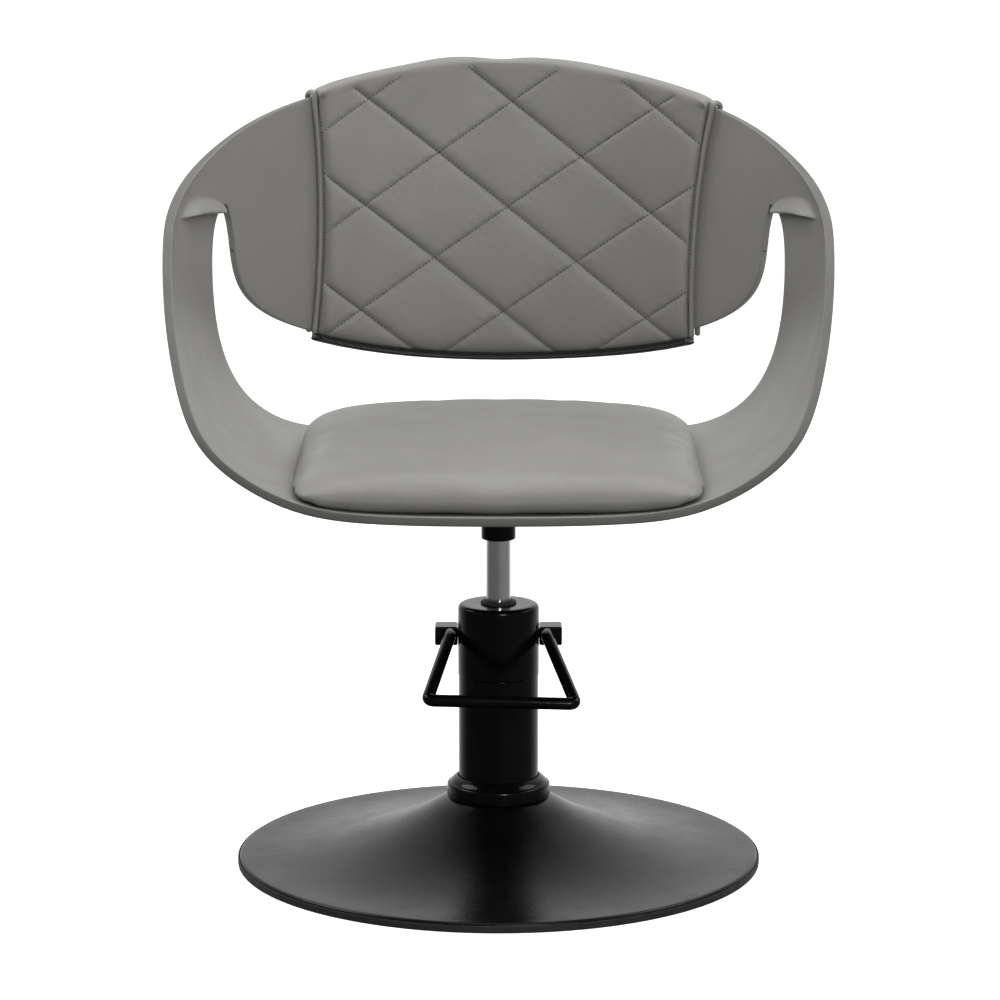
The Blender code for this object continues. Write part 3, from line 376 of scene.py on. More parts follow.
def distances_along(points):
    return np.concatenate([[0], np.cumsum(np.linalg.norm(np.diff(points, axis=0), axis=1))])


# Turned parts ----------


def profile_of(node):
    """The closed outline of a turned node: its (radius, z) points in the half plane at +X, in order."""
    bm = bmesh.new()
    bm.from_mesh(frame["nodes"][node].data)
    bmesh.ops.remove_doubles(bm, verts=bm.verts, dist=1e-5)
    near = 2e-5
    edges = []
    for edge in bm.edges:
        a, b = (v.co for v in edge.verts)
        flat = abs(a.y) < near and abs(b.y) < near and a.x > -near and b.x > -near
        if flat and (a - b).length > near:
            edges.append(((round(a.x, 5), round(a.z, 5)), (round(b.x, 5), round(b.z, 5))))
    bm.free()
    following = {}
    for a, b in edges:
        following.setdefault(a, []).append(b)
        following.setdefault(b, []).append(a)
    start = max(following, key=lambda point: (point[0] < 1e-4, point[1]))
    chain, before = [start], None
    while True:
        ways = [point for point in following[chain[-1]] if point != before]
        if not ways or ways[0] in chain:
            break
        before = chain[-1]
        chain.append(ways[0])
    return chain


def rounded_profile(points, closed, radius, bend=38.0, steps=4):
    """Corners sharper than bend are rounded by radius, and gentler ones are run through as a curve."""
    points = [np.array(point) for point in points]
    count = len(points)
    kept = []
    for i, point in enumerate(points):
        if not closed and i in (0, count - 1):
            kept.append((point, False))
            continue
        before, after = points[i - 1], points[(i + 1) % count]
        a, b = before - point, after - point
        la, lb = np.linalg.norm(a), np.linalg.norm(b)
        turn = math.degrees(math.acos(np.clip(-(a @ b) / la / lb, -1, 1)))
        if turn < bend:
            kept.append((point, True))
            continue
        size = min(radius, 0.4 * la, 0.4 * lb)
        start, end = point + a / la * size, point + b / lb * size
        kept += [(place, False) for place in corner_curve(start, point, end, steps)]
    made = []
    total = len(kept)
    for i in range(total if closed else total - 1):
        p1, soft1 = kept[i]
        p2, soft2 = kept[(i + 1) % total]
        p0, p3 = kept[i - 1][0], kept[(i + 2) % total][0]
        made.append(p1)
        if not (soft1 or soft2) or np.linalg.norm(p2 - p1) < 0.004:
            continue
        m1 = (p2 - p0) / 2 if soft1 else p2 - p1
        m2 = (p3 - p1) / 2 if soft2 else p2 - p1
        span = np.linalg.norm(p2 - p1)
        m1 = m1 / max(np.linalg.norm(m1), 1e-9) * span
        m2 = m2 / max(np.linalg.norm(m2), 1e-9) * span
        made += [hermite(t, p1, m1, p2, m2) for t in np.linspace(0, 1, 7)[1:-1]]
    if not closed:
        made.append(kept[-1][0])
    return made


def turn_again(node, look, body, slot, radius=0.0005, steps=160):
    """A finer copy of a turned node, its hard corners rounded as paint or machining rounds them."""
    chain = profile_of(node)
    closed = min(point[0] for point in chain) > 1e-4
    profile = rounded_profile(chain, closed, radius)
    turn = np.linspace(0, 2 * math.pi, steps, endpoint=False)
    grid = np.array([[(r * math.cos(a), r * math.sin(a), z) for r, z in profile] for a in turn])
    mesh = quads_mesh(node + "_turned", grid, True, closed)
    return add_piece(node + "_fine", mesh, look, body, slot, node, sharp=50.0)


def make_turned_parts():
    for node, look, body, radius in (
        ("base_disc", "disc_black", "base", 0.0012),
        ("base_rubber_ring", "rubber", "base", 0.0008),
        ("base_collar", "gloss_black", "base", 0.0010),
        ("pump_tube", "gloss_black", "base", 0.0006),
        ("pump_head", "gloss_black", "base", 0.0006),
        ("guide_bush", "bronze", "base", 0.0004),
        ("wiper_seal", "rubber", "base", 0.0006),
        ("ram_rod", "chrome", "seat", 0.0004),
        ("taper_socket", "gloss_black", "seat", 0.0008),
    ):
        turn_again(node, look, body, look, radius)


# The shell's surface ----------

# Each station crosses the loop of the shell from its rim to the opening between seat and back, in
# millimetres: x, y and z on the seat and the arm, and x and z on the back, which wrap_depth bends.
SEAT_AND_ARM = [
    ((0, -268, 435), (0, -35, 431), (0, 196, 447)),
    ((125, -266, 437), (112, -35, 433), (98, 194, 448)),
    ((215, -256, 450), (196, -34, 443), (176, 186, 451)),
    ((283, -234, 484), (262, -34, 467), (233, 166, 461)),
    ((316, -208, 518), (302, -36, 503), (267, 138, 482)),
    ((339, -155, 575), (328, -30, 553), (296, 104, 521)),
    ((352.5, -90, 640), (342, -4, 613), (314, 86, 577)),
    ((357, -30, 697), (347, 24, 672), (320, 86, 645)),
]
BACK = [
    ((353, 730), (343, 716), (317, 699)),
    ((335, 761), (329, 743), (307, 718)),
    ((289, 799), (307, 758), (299, 694)),
    ((215, 830), (264, 738), (290, 628)),
    ((120, 851), (172, 713), (221, 571)),
    ((0, 862), (0, 701), (0, 540.5)),
]
SHELL_HALF = 0.357
SHELL_TOP_Z = 0.862
WRAP_CENTRE_Y = -0.030
WRAP_POWER = 2.3
BACK_FOOT_Z = 0.535
BACK_FOOT_Y = 0.209
BACK_TOP_Y = 0.243


def wrap_depth(x, z):
    """How far back the upper shell lies at x and z: a boxy ellipse in plan."""
    rise = np.maximum(z - BACK_FOOT_Z, 0.0) / (SHELL_TOP_Z - BACK_FOOT_Z)
    centre = BACK_FOOT_Y + (BACK_TOP_Y - BACK_FOOT_Y) * rise**1.5
    across = np.minimum(np.abs(x) / SHELL_HALF, 1.0)
    return WRAP_CENTRE_Y + (centre - WRAP_CENTRE_Y) * (1 - across**WRAP_POWER) ** (1 / WRAP_POWER)


def loop_spline():
    """The shell's stations as a smooth closed curve: a function of the place round the loop, its
    period, the stretch over which the back's wrap takes over, and the stations' places."""
    half = [np.array(station, float) / 1000 for station in SEAT_AND_ARM]
    for station in BACK:
        flat = np.array(station, float) / 1000
        half.append(np.array([(x, wrap_depth(x, z), z) for x, z in flat]))
    mirrored = [station * (-1, 1, 1) for station in half[-2:0:-1]]
    stations = np.array(half + mirrored)
    steps = np.linalg.norm(np.roll(stations, -1, 0) - stations, axis=2).mean(axis=1)
    knots = np.concatenate([[0.0], np.cumsum(steps)[:-1]])
    values = stations.reshape(len(stations), -1)
    count = len(knots)
    slopes = (np.roll(values, -1, 0) - values) / steps[:, None]
    system = np.zeros((count, count))
    for i in range(count):
        before = (i - 1) % count
        system[i, before] += steps[before]
        system[i, i] += 2 * (steps[before] + steps[i])
        system[i, (i + 1) % count] += steps[i]
    bends = np.linalg.solve(system, 6 * (slopes - np.roll(slopes, 1, 0)))
    period = steps.sum()

    def at(place):
        place = np.mod(place, period)
        i = np.clip(np.searchsorted(knots, place, side="right") - 1, 0, count - 1)
        j = (i + 1) % count
        t, gap = (place - knots[i])[..., None], steps[i][..., None]
        left = gap - t
        curve = (bends[i] * left**3 + bends[j] * t**3) / (6 * gap)
        line = (values[i] / gap - bends[i] * gap / 6) * left + (values[j] / gap - bends[j] * gap / 6) * t
        return (curve + line).reshape(*place.shape, 3, 3)

    first_back = len(SEAT_AND_ARM)
    return at, period, (knots[first_back], knots[first_back + 2]), knots


LOOP, PERIOD, ON_BACK, KNOTS = loop_spline()
PLATE_REACH = PLATE_BOX[1].x
LEVEL_X = (PLATE_REACH + 0.020, PLATE_REACH + 0.080)  # the pan is level to the first, free past the second
LEVEL_Y = (PLATE_REACH + 0.030, PLATE_REACH + 0.090)
PAN_DEPTH = 0.08  # what is higher than this over the pan is never levelled


def middle_surface(place, v):
    """Points of the wall's middle surface: place runs round the loop, v from the rim to the opening."""
    place, v = np.broadcast_arrays(np.asarray(place, float), np.asarray(v, float))
    rim, middle, edge = np.moveaxis(LOOP(place), -2, 0)
    t = v[..., None]
    point = rim * (1 - t) * (1 - 2 * t) + middle * 4 * t * (1 - t) + edge * t * (2 * t - 1)
    x, y, z = np.moveaxis(point, -1, 0)
    near = np.minimum(np.mod(place, PERIOD), PERIOD - np.mod(place, PERIOD))
    y = y + smooth_step(near, *ON_BACK) * (wrap_depth(x, z) - y)
    level = (1 - smooth_step(np.abs(x), *LEVEL_X)) * (1 - smooth_step(np.abs(y), *LEVEL_Y))
    z = z + np.where(z > PAN_Z + PAN_DEPTH, 0.0, level) * (PAN_Z - z)
    return np.stack([x, y, z], -1)


def surface_normal(place, v):
    """Unit normals of the middle surface, towards the sitter, evened out by the tight opening edge."""
    step = 1e-3
    reach = 0.004 + 0.012 * smooth_step(v, 0.80, 0.98)
    along = middle_surface(place + reach, v) - middle_surface(place - reach, v)
    across = middle_surface(place, v + step) - middle_surface(place, v - step)
    normal = np.cross(along, across)
    return normal / np.linalg.norm(normal, axis=-1, keepdims=True)


# Where each arm leaves the back, the inner face carries a small ledge in line with the slot's top.
LEDGE_PLACE = KNOTS[len(SEAT_AND_ARM)] - 0.006
LEDGE_SLANT = 0.047
LEDGE_HEIGHT = 0.0120
LEDGE_RUN = 0.030
LEDGE_DROP = 0.0035
LEDGE_FADE = (0.26, 0.58)  # where across the shell the ledge starts and is full


def ledge(place, v):
    """How far the inner face stands proud at the ledge: a long rise down to a short sharp drop."""
    near = np.minimum(np.mod(place, PERIOD), PERIOD - np.mod(place, PERIOD))
    above = near - LEDGE_PLACE - LEDGE_SLANT * (v - 0.45)
    rise = (1 - smooth_step(above, 0.0, LEDGE_RUN)) * smooth_step(above, -LEDGE_DROP, 0.0)
    return LEDGE_HEIGHT * rise * smooth_step(v, *LEDGE_FADE)


RIM_SHADE_REACH = 0.0042  # how far the rim's painted shade reaches from the middle of the edge


def shell_places():
    """Places round the loop: even steps, with fine ones at the two ledges."""
    even = np.arange(0, PERIOD, PERIOD / 360)
    fine = LEDGE_PLACE + np.concatenate([np.arange(-0.018, 0.030, 0.0008), np.arange(0.030, 0.110, 0.0022)])
    fine = np.concatenate([fine, PERIOD - fine])
    keep = np.abs(even[:, None] - fine[None, :]).min(axis=1) > 0.0028
    return np.sort(np.concatenate([even[keep], fine]))


def paint_rim_shade(shell, grid):
    """Paints shade on the two edges of the shell, the grid's first and last columns, by giving them the
    darker rim material.
    """
    # The second slot is the darker rim look: painted shade on the rim's end faces.
    shell.data.materials.append(LOOKS["edge"])
    line = grid[:, [0, -1]].mean(axis=1)
    count = len(line)
    slivers = [(i, (i + 1) % count, i) for i in range(count)]
    tree = BVHTree.FromPolygons([tuple(point) for point in line], slivers)
    for face in shell.data.polygons:
        if tree.find_nearest(face.center, RIM_SHADE_REACH)[0] is not None:
            face.material_index = 1


def make_shell():
    """The wall as one closed sweep: inner face, rounded opening edge, outer face, rounded rim."""
    rim_round = 0.0022
    places = shell_places()[:, None]
    rows = np.linspace(0, 1, 49)[None, :]
    width = np.linalg.norm(np.diff(middle_surface(places, rows), axis=1), axis=2).sum(axis=1)[:, None]
    turn = np.linspace(0, math.pi / 2, 5)
    inset = rim_round * (1 - np.sin(turn))
    lift = HALF_WALL - rim_round * (1 - np.cos(turn))
    flat = np.linspace(0.0, 1.0, 25)[1:-1]
    start = rim_round / width
    inner = start + (1 - 2 * start) * flat[None, :]
    inner = np.concatenate([inset[::-1][None, :] / width, inner, 1 - inset[None, :] / width], axis=1)
    lifts = np.concatenate([lift[::-1], np.full(len(flat), HALF_WALL), lift])[None, :]
    normal = surface_normal(places, inner)
    middle = middle_surface(places, inner)
    front = middle + normal * (lifts + ledge(places, inner) * (lifts > HALF_WALL - 1e-9))[..., None]
    rear = middle - normal * lifts[..., None]
    grid = np.concatenate([front, rear[:, ::-1]], axis=1)
    mesh = quads_mesh("seat_shell_fine", grid, True, True)
    shell = add_piece("seat_shell_fine", mesh, "shell", "seat", "shell", "seat_shell", sharp=60.0)
    # the rim's faces take the painted shade
    paint_rim_shade(shell, grid)
    return shell


# The back cover ----------

PIPING_RADIUS = 0.0033
COVER_WIDTH = 0.440  # at the lower edge, over the piping
COVER_FLARE = 0.022  # how much wider the cover is at the top
COVER_WAIST = 0.0075  # how far each side is drawn in at half height
COVER_SHIFT_TOP = 0.0165  # the cover hangs off centre, more so at the top
COVER_SHIFT_FOOT = 0.005
COVER_DROOP = 0.007  # how far the lower right corner hangs lower
PANEL_BACK = HALF_WALL + 0.0018
PANEL_FRONT = PANEL_BACK + 0.0145
REAR_FRONT = -HALF_WALL - 0.0015
REAR_BACK = REAR_FRONT - 0.0030
REAR_TUCK = 0.0064  # how far the rear sheet lies lower, so that its top is under the hem


def edge_height(v, low_z):
    """The height of the back's edge at v, as a function of x. What is under low_z isn't the back's."""
    points = middle_surface(np.linspace(0, PERIOD, 1200, endpoint=False), v)
    points = points[(points[:, 2] > low_z) & (np.abs(points[:, 0]) < 0.78 * SHELL_HALF)]
    points = points[np.argsort(points[:, 0])]
    return lambda x: np.interp(x, points[:, 0], points[:, 2])


back_top_z = edge_height(0.0, 0.647)
back_foot_z = edge_height(1.0, 0.496)


def back_point(x, z, out):
    """A point of the back, out metres in front of the wall's middle."""
    step = 0.0005

    def deep(dx, dz):
        return np.stack([x + dx, wrap_depth(x + dx, z + dz), z + dz], -1)

    normal = np.cross(deep(step, 0.0) - deep(-step, 0.0), deep(0.0, step) - deep(0.0, -step))
    normal = normal / np.linalg.norm(normal, axis=-1, keepdims=True)
    return deep(0.0, 0.0) + np.asarray(out)[..., None] * normal


def cover_half(up):
    """Half the cover's width inside its piping, drawn in at half height."""
    return (COVER_WIDTH + COVER_FLARE * up) / 2 - 4 * COVER_WAIST * up * (1 - up) - 2 * PIPING_RADIUS - GAP


def cover_centre(up):
    return COVER_SHIFT_FOOT + (COVER_SHIFT_TOP - COVER_SHIFT_FOOT) * up


def cover_xz(across, up, rise=0.0):
    """The place on the back of a point of the cover: across from -1 to 1, up from 0 to 1, and rise
    metres higher."""
    level = up
    for _ in range(2):
        x = cover_half(level) * across + cover_centre(level)
        foot = back_foot_z(x) - COVER_DROOP * np.maximum(across, 0.0) ** 2
        height = back_top_z(x) - foot
        level = np.minimum(up + rise / height, 1.0)
    return x, foot + height * up + rise


HEM_RISE = 0.0104  # how far the cover stands over the back's top edge
# Where the hem stands higher or lower than that: height, place in x and spread.
HEM_WAVES = ((-0.0034, 0.002, 0.026), (0.0016, -0.065, 0.030), (0.0010, 0.095, 0.035))
HEM_CORNER = 0.0045  # how far it falls at its two ends
QUILT_X = 0.0103  # one crossing of the quilting lines
QUILT_Z = 0.7060
QUILT_HALF_WIDTH = 0.0804
QUILT_HALF_HEIGHT = 0.0592
QUILT_LEAN = 0.0434  # the cover hangs a little askew: how far its uprights lean
QUILT_DIP = 0.0282  # and its level lines dip to the right
QUILT_SLOPE = math.hypot(1 / QUILT_HALF_WIDTH, 1 / QUILT_HALF_HEIGHT)
# Reach and depth of each groove's two parts: the crease at the seam, and the foam pressed in round it.
FALLING_GROOVE = ((0.0024, 0.0030), (0.011, 0.0020))
RISING_GROOVE = ((0.0019, 0.0016), (0.010, 0.0010))
QUILT_STITCH = (0.0046, 0.0030, 0.00058)  # pitch, length and radius
SIDE_STITCH = (0.0040, 0.0028, 0.00052)
SIDE_SEAM = 0.0045  # from the panel's side edge to its row of stitches
SHORTEST_RUN = 8  # a seam with fewer points than this on the panel isn't sewn


def quilt_distance(x, z):
    """Distances to the nearest falling and rising quilting line, and the places along them."""
    a = (x - QUILT_X - QUILT_LEAN * (z - QUILT_Z)) / QUILT_HALF_WIDTH
    b = (z - QUILT_Z + QUILT_DIP * (x - QUILT_X)) / QUILT_HALF_HEIGHT
    falling = (a + b) - 2 * np.round((a + b) / 2)
    rising = (a - b) - 2 * np.round((a - b) / 2)
    return falling / QUILT_SLOPE, rising / QUILT_SLOPE, (a - b) / QUILT_SLOPE, (a + b) / QUILT_SLOPE


def waves(x, z, scale, count=7, seed=3):
    """A smooth random surface of about plus or minus 1, from a few slanted waves."""
    draw = np.random.default_rng(seed)
    total = np.zeros(np.broadcast(x, z).shape)
    for _ in range(count):
        angle = draw.uniform(0, 2 * math.pi)
        phase = draw.uniform(0, 2 * math.pi)
        size = draw.uniform(0.6, 1.6)
        total += np.sin((np.cos(angle) * x + np.sin(angle) * z) / scale * size + phase)
    return total / math.sqrt(count)


def fade(distance, reach, height):
    return np.exp(-distance / reach) * height


def quilt_height(x, z):
    """How far the quilted face stands out: 0 at its fullest, lower towards the stitched lines."""
    falling, rising, along_falling, along_rising = quilt_distance(x, z)
    fall, climb = np.abs(falling), np.abs(rising)
    deep = sum(fade(fall, *part) for part in FALLING_GROOVE)
    shallow = sum(fade(climb, *part) for part in RISING_GROOVE)
    pucker = fade(fall, 0.012, 0.00018) * np.sin(along_falling / 0.0021 + 2 * waves(x, z, 0.02))
    pucker += fade(climb, 0.010, 0.00016) * np.sin(along_rising / 0.0019 + 2 * waves(x, z, 0.02, seed=5))
    drift = waves(x, z, 0.045) * 0.0005
    return drift + pucker - np.maximum(deep, shallow) - 0.4 * np.minimum(deep, shallow)


def panel_front(across, up):
    """The quilted face: a point for each across and up, rolled in at its four edges."""
    x, z = cover_xz(across, up)
    side = (1 - np.abs(across)) * cover_half(up)
    top = back_top_z(x) + 0.0078 - z
    foot = z - back_foot_z(x) + COVER_DROOP * np.maximum(across, 0.0) ** 2
    roll = fade(side, 0.006, 0.0070) + fade(foot, 0.007, 0.0045)
    plain = back_point(x, z, PANEL_FRONT - roll)
    quilted = quilt_height(plain[..., 0], plain[..., 2])
    full = quilted * (1 - fade(side, 0.004, 1.0)) * (1 - fade(np.abs(top), 0.010, 0.7))
    return back_point(x, z, PANEL_FRONT - roll + full)


def make_quilted_panel():
    """Front face, roll over the top, narrow hem behind it, and back face, as one closed skin."""
    across = np.linspace(-1, 1, 281)[:, None]
    face = panel_front(across, np.linspace(0, 0.985, 190)[None, :])
    columns = [face]
    top_x = cover_xz(across, 1.0)[0]
    hem = HEM_RISE - HEM_CORNER * np.abs(across) ** 40
    for height, place, spread in HEM_WAVES:
        hem = hem + height * np.exp(-(((top_x - place) / spread) ** 2))
    # Over the top: how far in front of the wall's middle, and how far over the back's edge.
    over = [
        (PANEL_FRONT - 0.0002, 0.0010),
        (PANEL_FRONT * 0.93, 0.0044),
        (PANEL_FRONT * 0.80, 0.0068),
        (PANEL_FRONT * 0.62, 0.0080),
        (PANEL_FRONT * 0.42, 0.0081),
        (PANEL_FRONT * 0.30, 0.0072),
        (PANEL_FRONT * 0.22, 0.0060),
        (PANEL_FRONT * 0.12, 0.0064),
        (0.0, 0.0072),
        (REAR_BACK * 0.5, 0.0070),
        (REAR_BACK * 0.9, 0.0058),
        (REAR_BACK * 1.02, 0.0030),
        (REAR_BACK * 1.02, -0.0050),
        (REAR_BACK * 0.90, -0.0060),
        (REAR_FRONT, -0.0058),
        (REAR_FRONT, 0.0030),
        (0.0, 0.0040),
        (PANEL_BACK, 0.0034),
    ]
    highest = max(rise for out, rise in over)
    for out, rise in over:
        x, z = cover_xz(across, 1.0, rise * (hem / highest if rise > 0.0045 else 1.0))
        columns.append(back_point(x, z, np.full_like(x, out)))
    for up in np.linspace(0.97, 0.0, 30):
        x, z = cover_xz(across, up)
        columns.append(back_point(x, z, np.full_like(x, PANEL_BACK)))
    grid = np.concatenate(columns, axis=1)
    mesh = quads_mesh("back_cover_quilted", grid, False, True, caps=(0, -1))
    stands_for = "back_quilted_panel"
    panel = add_piece("back_cover_quilted", mesh, "vinyl", "seat", "vinyl", stands_for, sharp=75.0)
    return panel


def make_rear_panel():
    """The plain vinyl back of the slip-on cover."""
    across = np.linspace(-1, 1, 161)[:, None]
    columns = []
    levels = np.linspace(0, 1, 90)
    for up in levels:
        x, z = cover_xz(across, up, -REAR_TUCK)
        columns.append(back_point(x, z, np.full_like(x, REAR_FRONT)))
    for up in levels[::-1]:
        x, z = cover_xz(across, up, -REAR_TUCK)
        side = fade((1 - np.abs(across)) * COVER_WIDTH / 2, 0.006, 1.0)
        slack = waves(x, z, 0.060, seed=17) * 0.0006 * (1 - side)
        columns.append(back_point(x, z, REAR_BACK + side * 0.0014 - np.abs(slack)))
    grid = np.concatenate(columns, axis=1)
    mesh = quads_mesh("back_cover_rear", grid, False, True, caps=(0, -1))
    panel = add_piece("back_cover_rear", mesh, "vinyl", "seat", "vinyl", "back_rear_panel", sharp=60.0)
    return panel


def tube_mesh(name, route, radius, sides=14):
    """A tube round a route of points, with rounded ends."""
    route = np.asarray(route, float)
    along = np.gradient(route, axis=0)
    along /= np.linalg.norm(along, axis=1, keepdims=True)
    side = np.cross(along[0], (0.3, 0.1, 1.0))
    rings = []
    for point, way in zip(route, along):
        side = side - way * (side @ way)
        side /= np.linalg.norm(side)
        other = np.cross(way, side)
        angles = np.linspace(0, 2 * math.pi, sides, endpoint=False)[:, None]
        rings.append(point + radius * (np.cos(angles) * side + np.sin(angles) * other))
    rings = np.array(rings)

    def end_ring(row, size, reach):
        return route[row] + (rings[row] - route[row]) * size + along[row] * radius * reach

    first = [end_ring(0, 0.35, -0.55), end_ring(0, 0.8, -0.3)]
    last = [end_ring(-1, 0.8, 0.3), end_ring(-1, 0.35, 0.55)]
    grid = np.concatenate([first, rings, last])
    return quads_mesh(name, grid, False, True, caps=(0, -1))


def smooth_route(points, count):
    """count points evenly along a smooth curve through the given ones."""
    points = np.asarray(points, float)
    steps = distances_along(points)
    dense = []
    tangent = np.gradient(points, steps, axis=0)
    for place in np.linspace(0, steps[-1], count):
        i = min(int(np.searchsorted(steps, place, side="right")) - 1, len(points) - 2)
        gap = steps[i + 1] - steps[i]
        t = (place - steps[i]) / gap
        dense.append(hermite(t, points[i], gap * tangent[i], points[i + 1], gap * tangent[i + 1]))
    return np.array(dense)


def piping_route(side):
    """Up the front edge of the cover, over the top of the back, and down its rear edge."""
    off = (PIPING_RADIUS + GAP) * side
    front = HALF_WALL + PIPING_RADIUS + 0.0010
    rear = -HALF_WALL - PIPING_RADIUS - 0.0010
    over = PIPING_RADIUS + 0.0014
    points = [(up, front, 0.0) for up in np.linspace(0.0, 0.97, 10)]
    points += [(1.0, front, over * 0.55), (1.0, front * 0.45, over)]
    points += [(1.0, rear * 0.45, over), (1.0, rear, over * 0.55)]
    points += [(up, rear, 0.0) for up in np.linspace(0.97, 0.0, 10)]
    route = []
    for up, out, rise in points:
        x = cover_half(up) * side + cover_centre(up) + off
        foot = back_foot_z(x) - COVER_DROOP * max(side, 0.0)
        z = foot + (back_top_z(x) - foot) * up + rise
        route.append(back_point(np.array(x), np.array(z), np.array(out)))
    return smooth_route(route, 150)


def make_piping():
    for side, name in ((-1, "left"), (1, "right")):
        route = piping_route(side)
        mesh = tube_mesh(f"piping_{name}_fine", route, PIPING_RADIUS, 16)
        add_piece(f"piping_{name}_fine", mesh, "piping", "seat", "piping", f"piping_{name}")


def stitch_run(points, normals, pitch, length, radius):
    """The stitches along a run of points: each one's middle, direction, normal, length and radius."""
    steps = distances_along(points)
    made = []
    for place in np.arange(pitch / 2, steps[-1] - pitch / 2, pitch):
        middle = np.array([np.interp(place, steps, points[:, k]) for k in range(3)])
        ahead = np.array([np.interp(place + length / 2, steps, points[:, k]) for k in range(3)])
        normal = np.array([np.interp(place, steps, normals[:, k]) for k in range(3)])
        way = ahead - middle
        size = np.linalg.norm(way)
        if size < 1e-6:
            continue
        way /= size
        normal = normal - way * (normal @ way)
        normal /= np.linalg.norm(normal)
        made.append((middle, way, normal, length, radius))
    return made


def stitches_mesh(name, stitches):
    """Each stitch is a small flattened capsule, sunk at both ends."""
    vertices, faces = [], []
    half = [(0.0, 1.0, 0.25), (0.36, 0.8, -0.1), (0.5, 0.15, -0.9)]  # along, thickness and lift
    profile = [(-along, fat, lift) for along, fat, lift in half[:0:-1]] + half
    sides = 6
    for middle, way, normal, length, radius in stitches:
        other = np.cross(way, normal)
        base = len(vertices)
        for along, fat, lift in profile:
            for k in range(sides):
                angle = 2 * math.pi * k / sides
                offset = radius * fat * (math.cos(angle) * other + math.sin(angle) * normal)
                vertices.append(tuple(middle + way * along * length + normal * radius * lift + offset))
        for i in range(len(profile) - 1):
            for k in range(sides):
                m = (k + 1) % sides
                a, b = base + i * sides, base + (i + 1) * sides
                faces.append((a + k, a + m, b + m, b + k))
        faces.append(tuple(base + k for k in reversed(range(sides))))
        faces.append(tuple(base + (len(profile) - 1) * sides + k for k in range(sides)))
    mesh = bpy.data.meshes.new(name)
    mesh.from_pydata(vertices, [], faces)
    mesh.update()
    return mesh


def tree_of(piece):
    return BVHTree.FromObject(piece, bpy.context.evaluated_depsgraph_get())


def on_panel(tree, x, z):
    """The quilted face's point and normal in front of x and z, or None off the face."""
    hit, normal, _, _ = tree.ray_cast(Vector((x, 0.0, z)), Vector((0, 1, 0)))
    return None if hit is None else (np.array(hit), np.array(normal))


def quilt_runs(tree):
    """Runs of points along every quilting line that crosses the panel."""
    runs = []
    for sign in (1, -1):
        for index in range(-8, 9):
            run = []
            for t in np.linspace(-5.5, 5.5, 400):
                across, up = t * QUILT_HALF_WIDTH, (2 * index - sign * t) * QUILT_HALF_HEIGHT
                x = QUILT_X + (across + QUILT_LEAN * up) / (1 + QUILT_LEAN * QUILT_DIP)
                z = QUILT_Z + up - QUILT_DIP * (x - QUILT_X)
                hit = on_panel(tree, x, z) if abs(z - 0.70) < 0.19 and abs(x) < 0.25 else None
                level = (z - back_foot_z(x)) / (back_top_z(x) - back_foot_z(x))
                inside = hit is not None and abs(x - cover_centre(level)) < cover_half(level) - 0.003
                if inside and 0.01 < level < 1.01:
                    run.append(hit)
                else:
                    runs.append(run)
                    run = []
            runs.append(run)
    return [run for run in runs if len(run) > SHORTEST_RUN]


def side_run(tree, side):
    """A run of points just inside one piping."""
    up = np.linspace(0.01, 0.985, 260)
    across = side * (1 - SIDE_SEAM / (COVER_WIDTH / 2))
    hits = [on_panel(tree, x, z) for x, z in zip(*cover_xz(np.full_like(up, across), up))]
    return [hit for hit in hits if hit is not None]


def make_stitching(panel):
    """Quilting stitches along both sets of lines, and a row beside each piping."""
    tree = tree_of(panel)
    runs = [(run, QUILT_STITCH) for run in quilt_runs(tree)]
    runs += [(side_run(tree, side), SIDE_STITCH) for side in (-1, 1)]
    stitches = []
    for run, stitch in runs:
        points, normals = np.moveaxis(np.array(run), 1, 0)
        stitches += stitch_run(points, normals, *stitch)
    add_piece("cover_stitching", stitches_mesh("cover_stitching", stitches), "thread", "seat", "vinyl")


def make_zip():
    """Moulded teeth along the tape under the cover: cut-cornered blocks in two alternating rows."""
    count = 230
    across = np.linspace(-0.985, 0.985, count)
    x, z = cover_xz(across, np.zeros(count), -0.0044)
    line = back_point(x, z, np.full(count, PANEL_FRONT + 0.0006))
    half, cut = Vector((0.0006, 0.0006, 0.0009)), 0.00022
    corners, faces = [], []
    block = [(x, y, z) for x in (-1, 1) for y in (-1, 1) for z in (-1, 1)]
    for number, point in enumerate(line):
        way = line[min(number + 1, count - 1)] - line[max(number - 1, 0)]
        turn = Vector(way).to_track_quat("X", "Z")
        middle = Vector(point) + Vector((0, 0, 0.0004 * (-1) ** number))
        first = len(corners)
        for sx, sy, sz in block:
            for axis in range(3):
                corner = Vector((sx * half.x, sy * half.y, sz * half.z))
                corner[axis] -= (sx, sy, sz)[axis] * cut
                corners.append(tuple(middle + turn @ corner))
        faces.append([first + 3 * k + axis for k in range(8) for axis in range(3)])
    mesh = bpy.data.meshes.new("zip_teeth")
    bm = bmesh.new()
    for group in faces:
        bmesh.ops.convex_hull(bm, input=[bm.verts.new(corners[k]) for k in group])
    bmesh.ops.dissolve_limit(bm, angle_limit=0.01, verts=bm.verts, edges=bm.edges)
    bm.to_mesh(mesh)
    bm.free()
    add_piece("zip_teeth", mesh, "teeth", "seat", "zip")


# Seat cushion ----------

CUSHION_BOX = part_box("seat_cover")
CUSHION_WIDTH = CUSHION_BOX[1].x - CUSHION_BOX[0].x
CUSHION_DEPTH = CUSHION_BOX[1].y - CUSHION_BOX[0].y
CUSHION_MIDDLE_Y = (CUSHION_BOX[1].y + CUSHION_BOX[0].y) / 2


def crown_height(x, y):
    """The cushion's top over the pan: higher at the rear, crowned, and falling at the sides."""
    across = x / (CUSHION_WIDTH / 2)
    along = (y - CUSHION_MIDDLE_Y) / (CUSHION_DEPTH / 2)
    return 0.0535 + 0.0105 * along + 0.007 * (1 - across**2) * (1 - along**2) - 0.007 * across**4


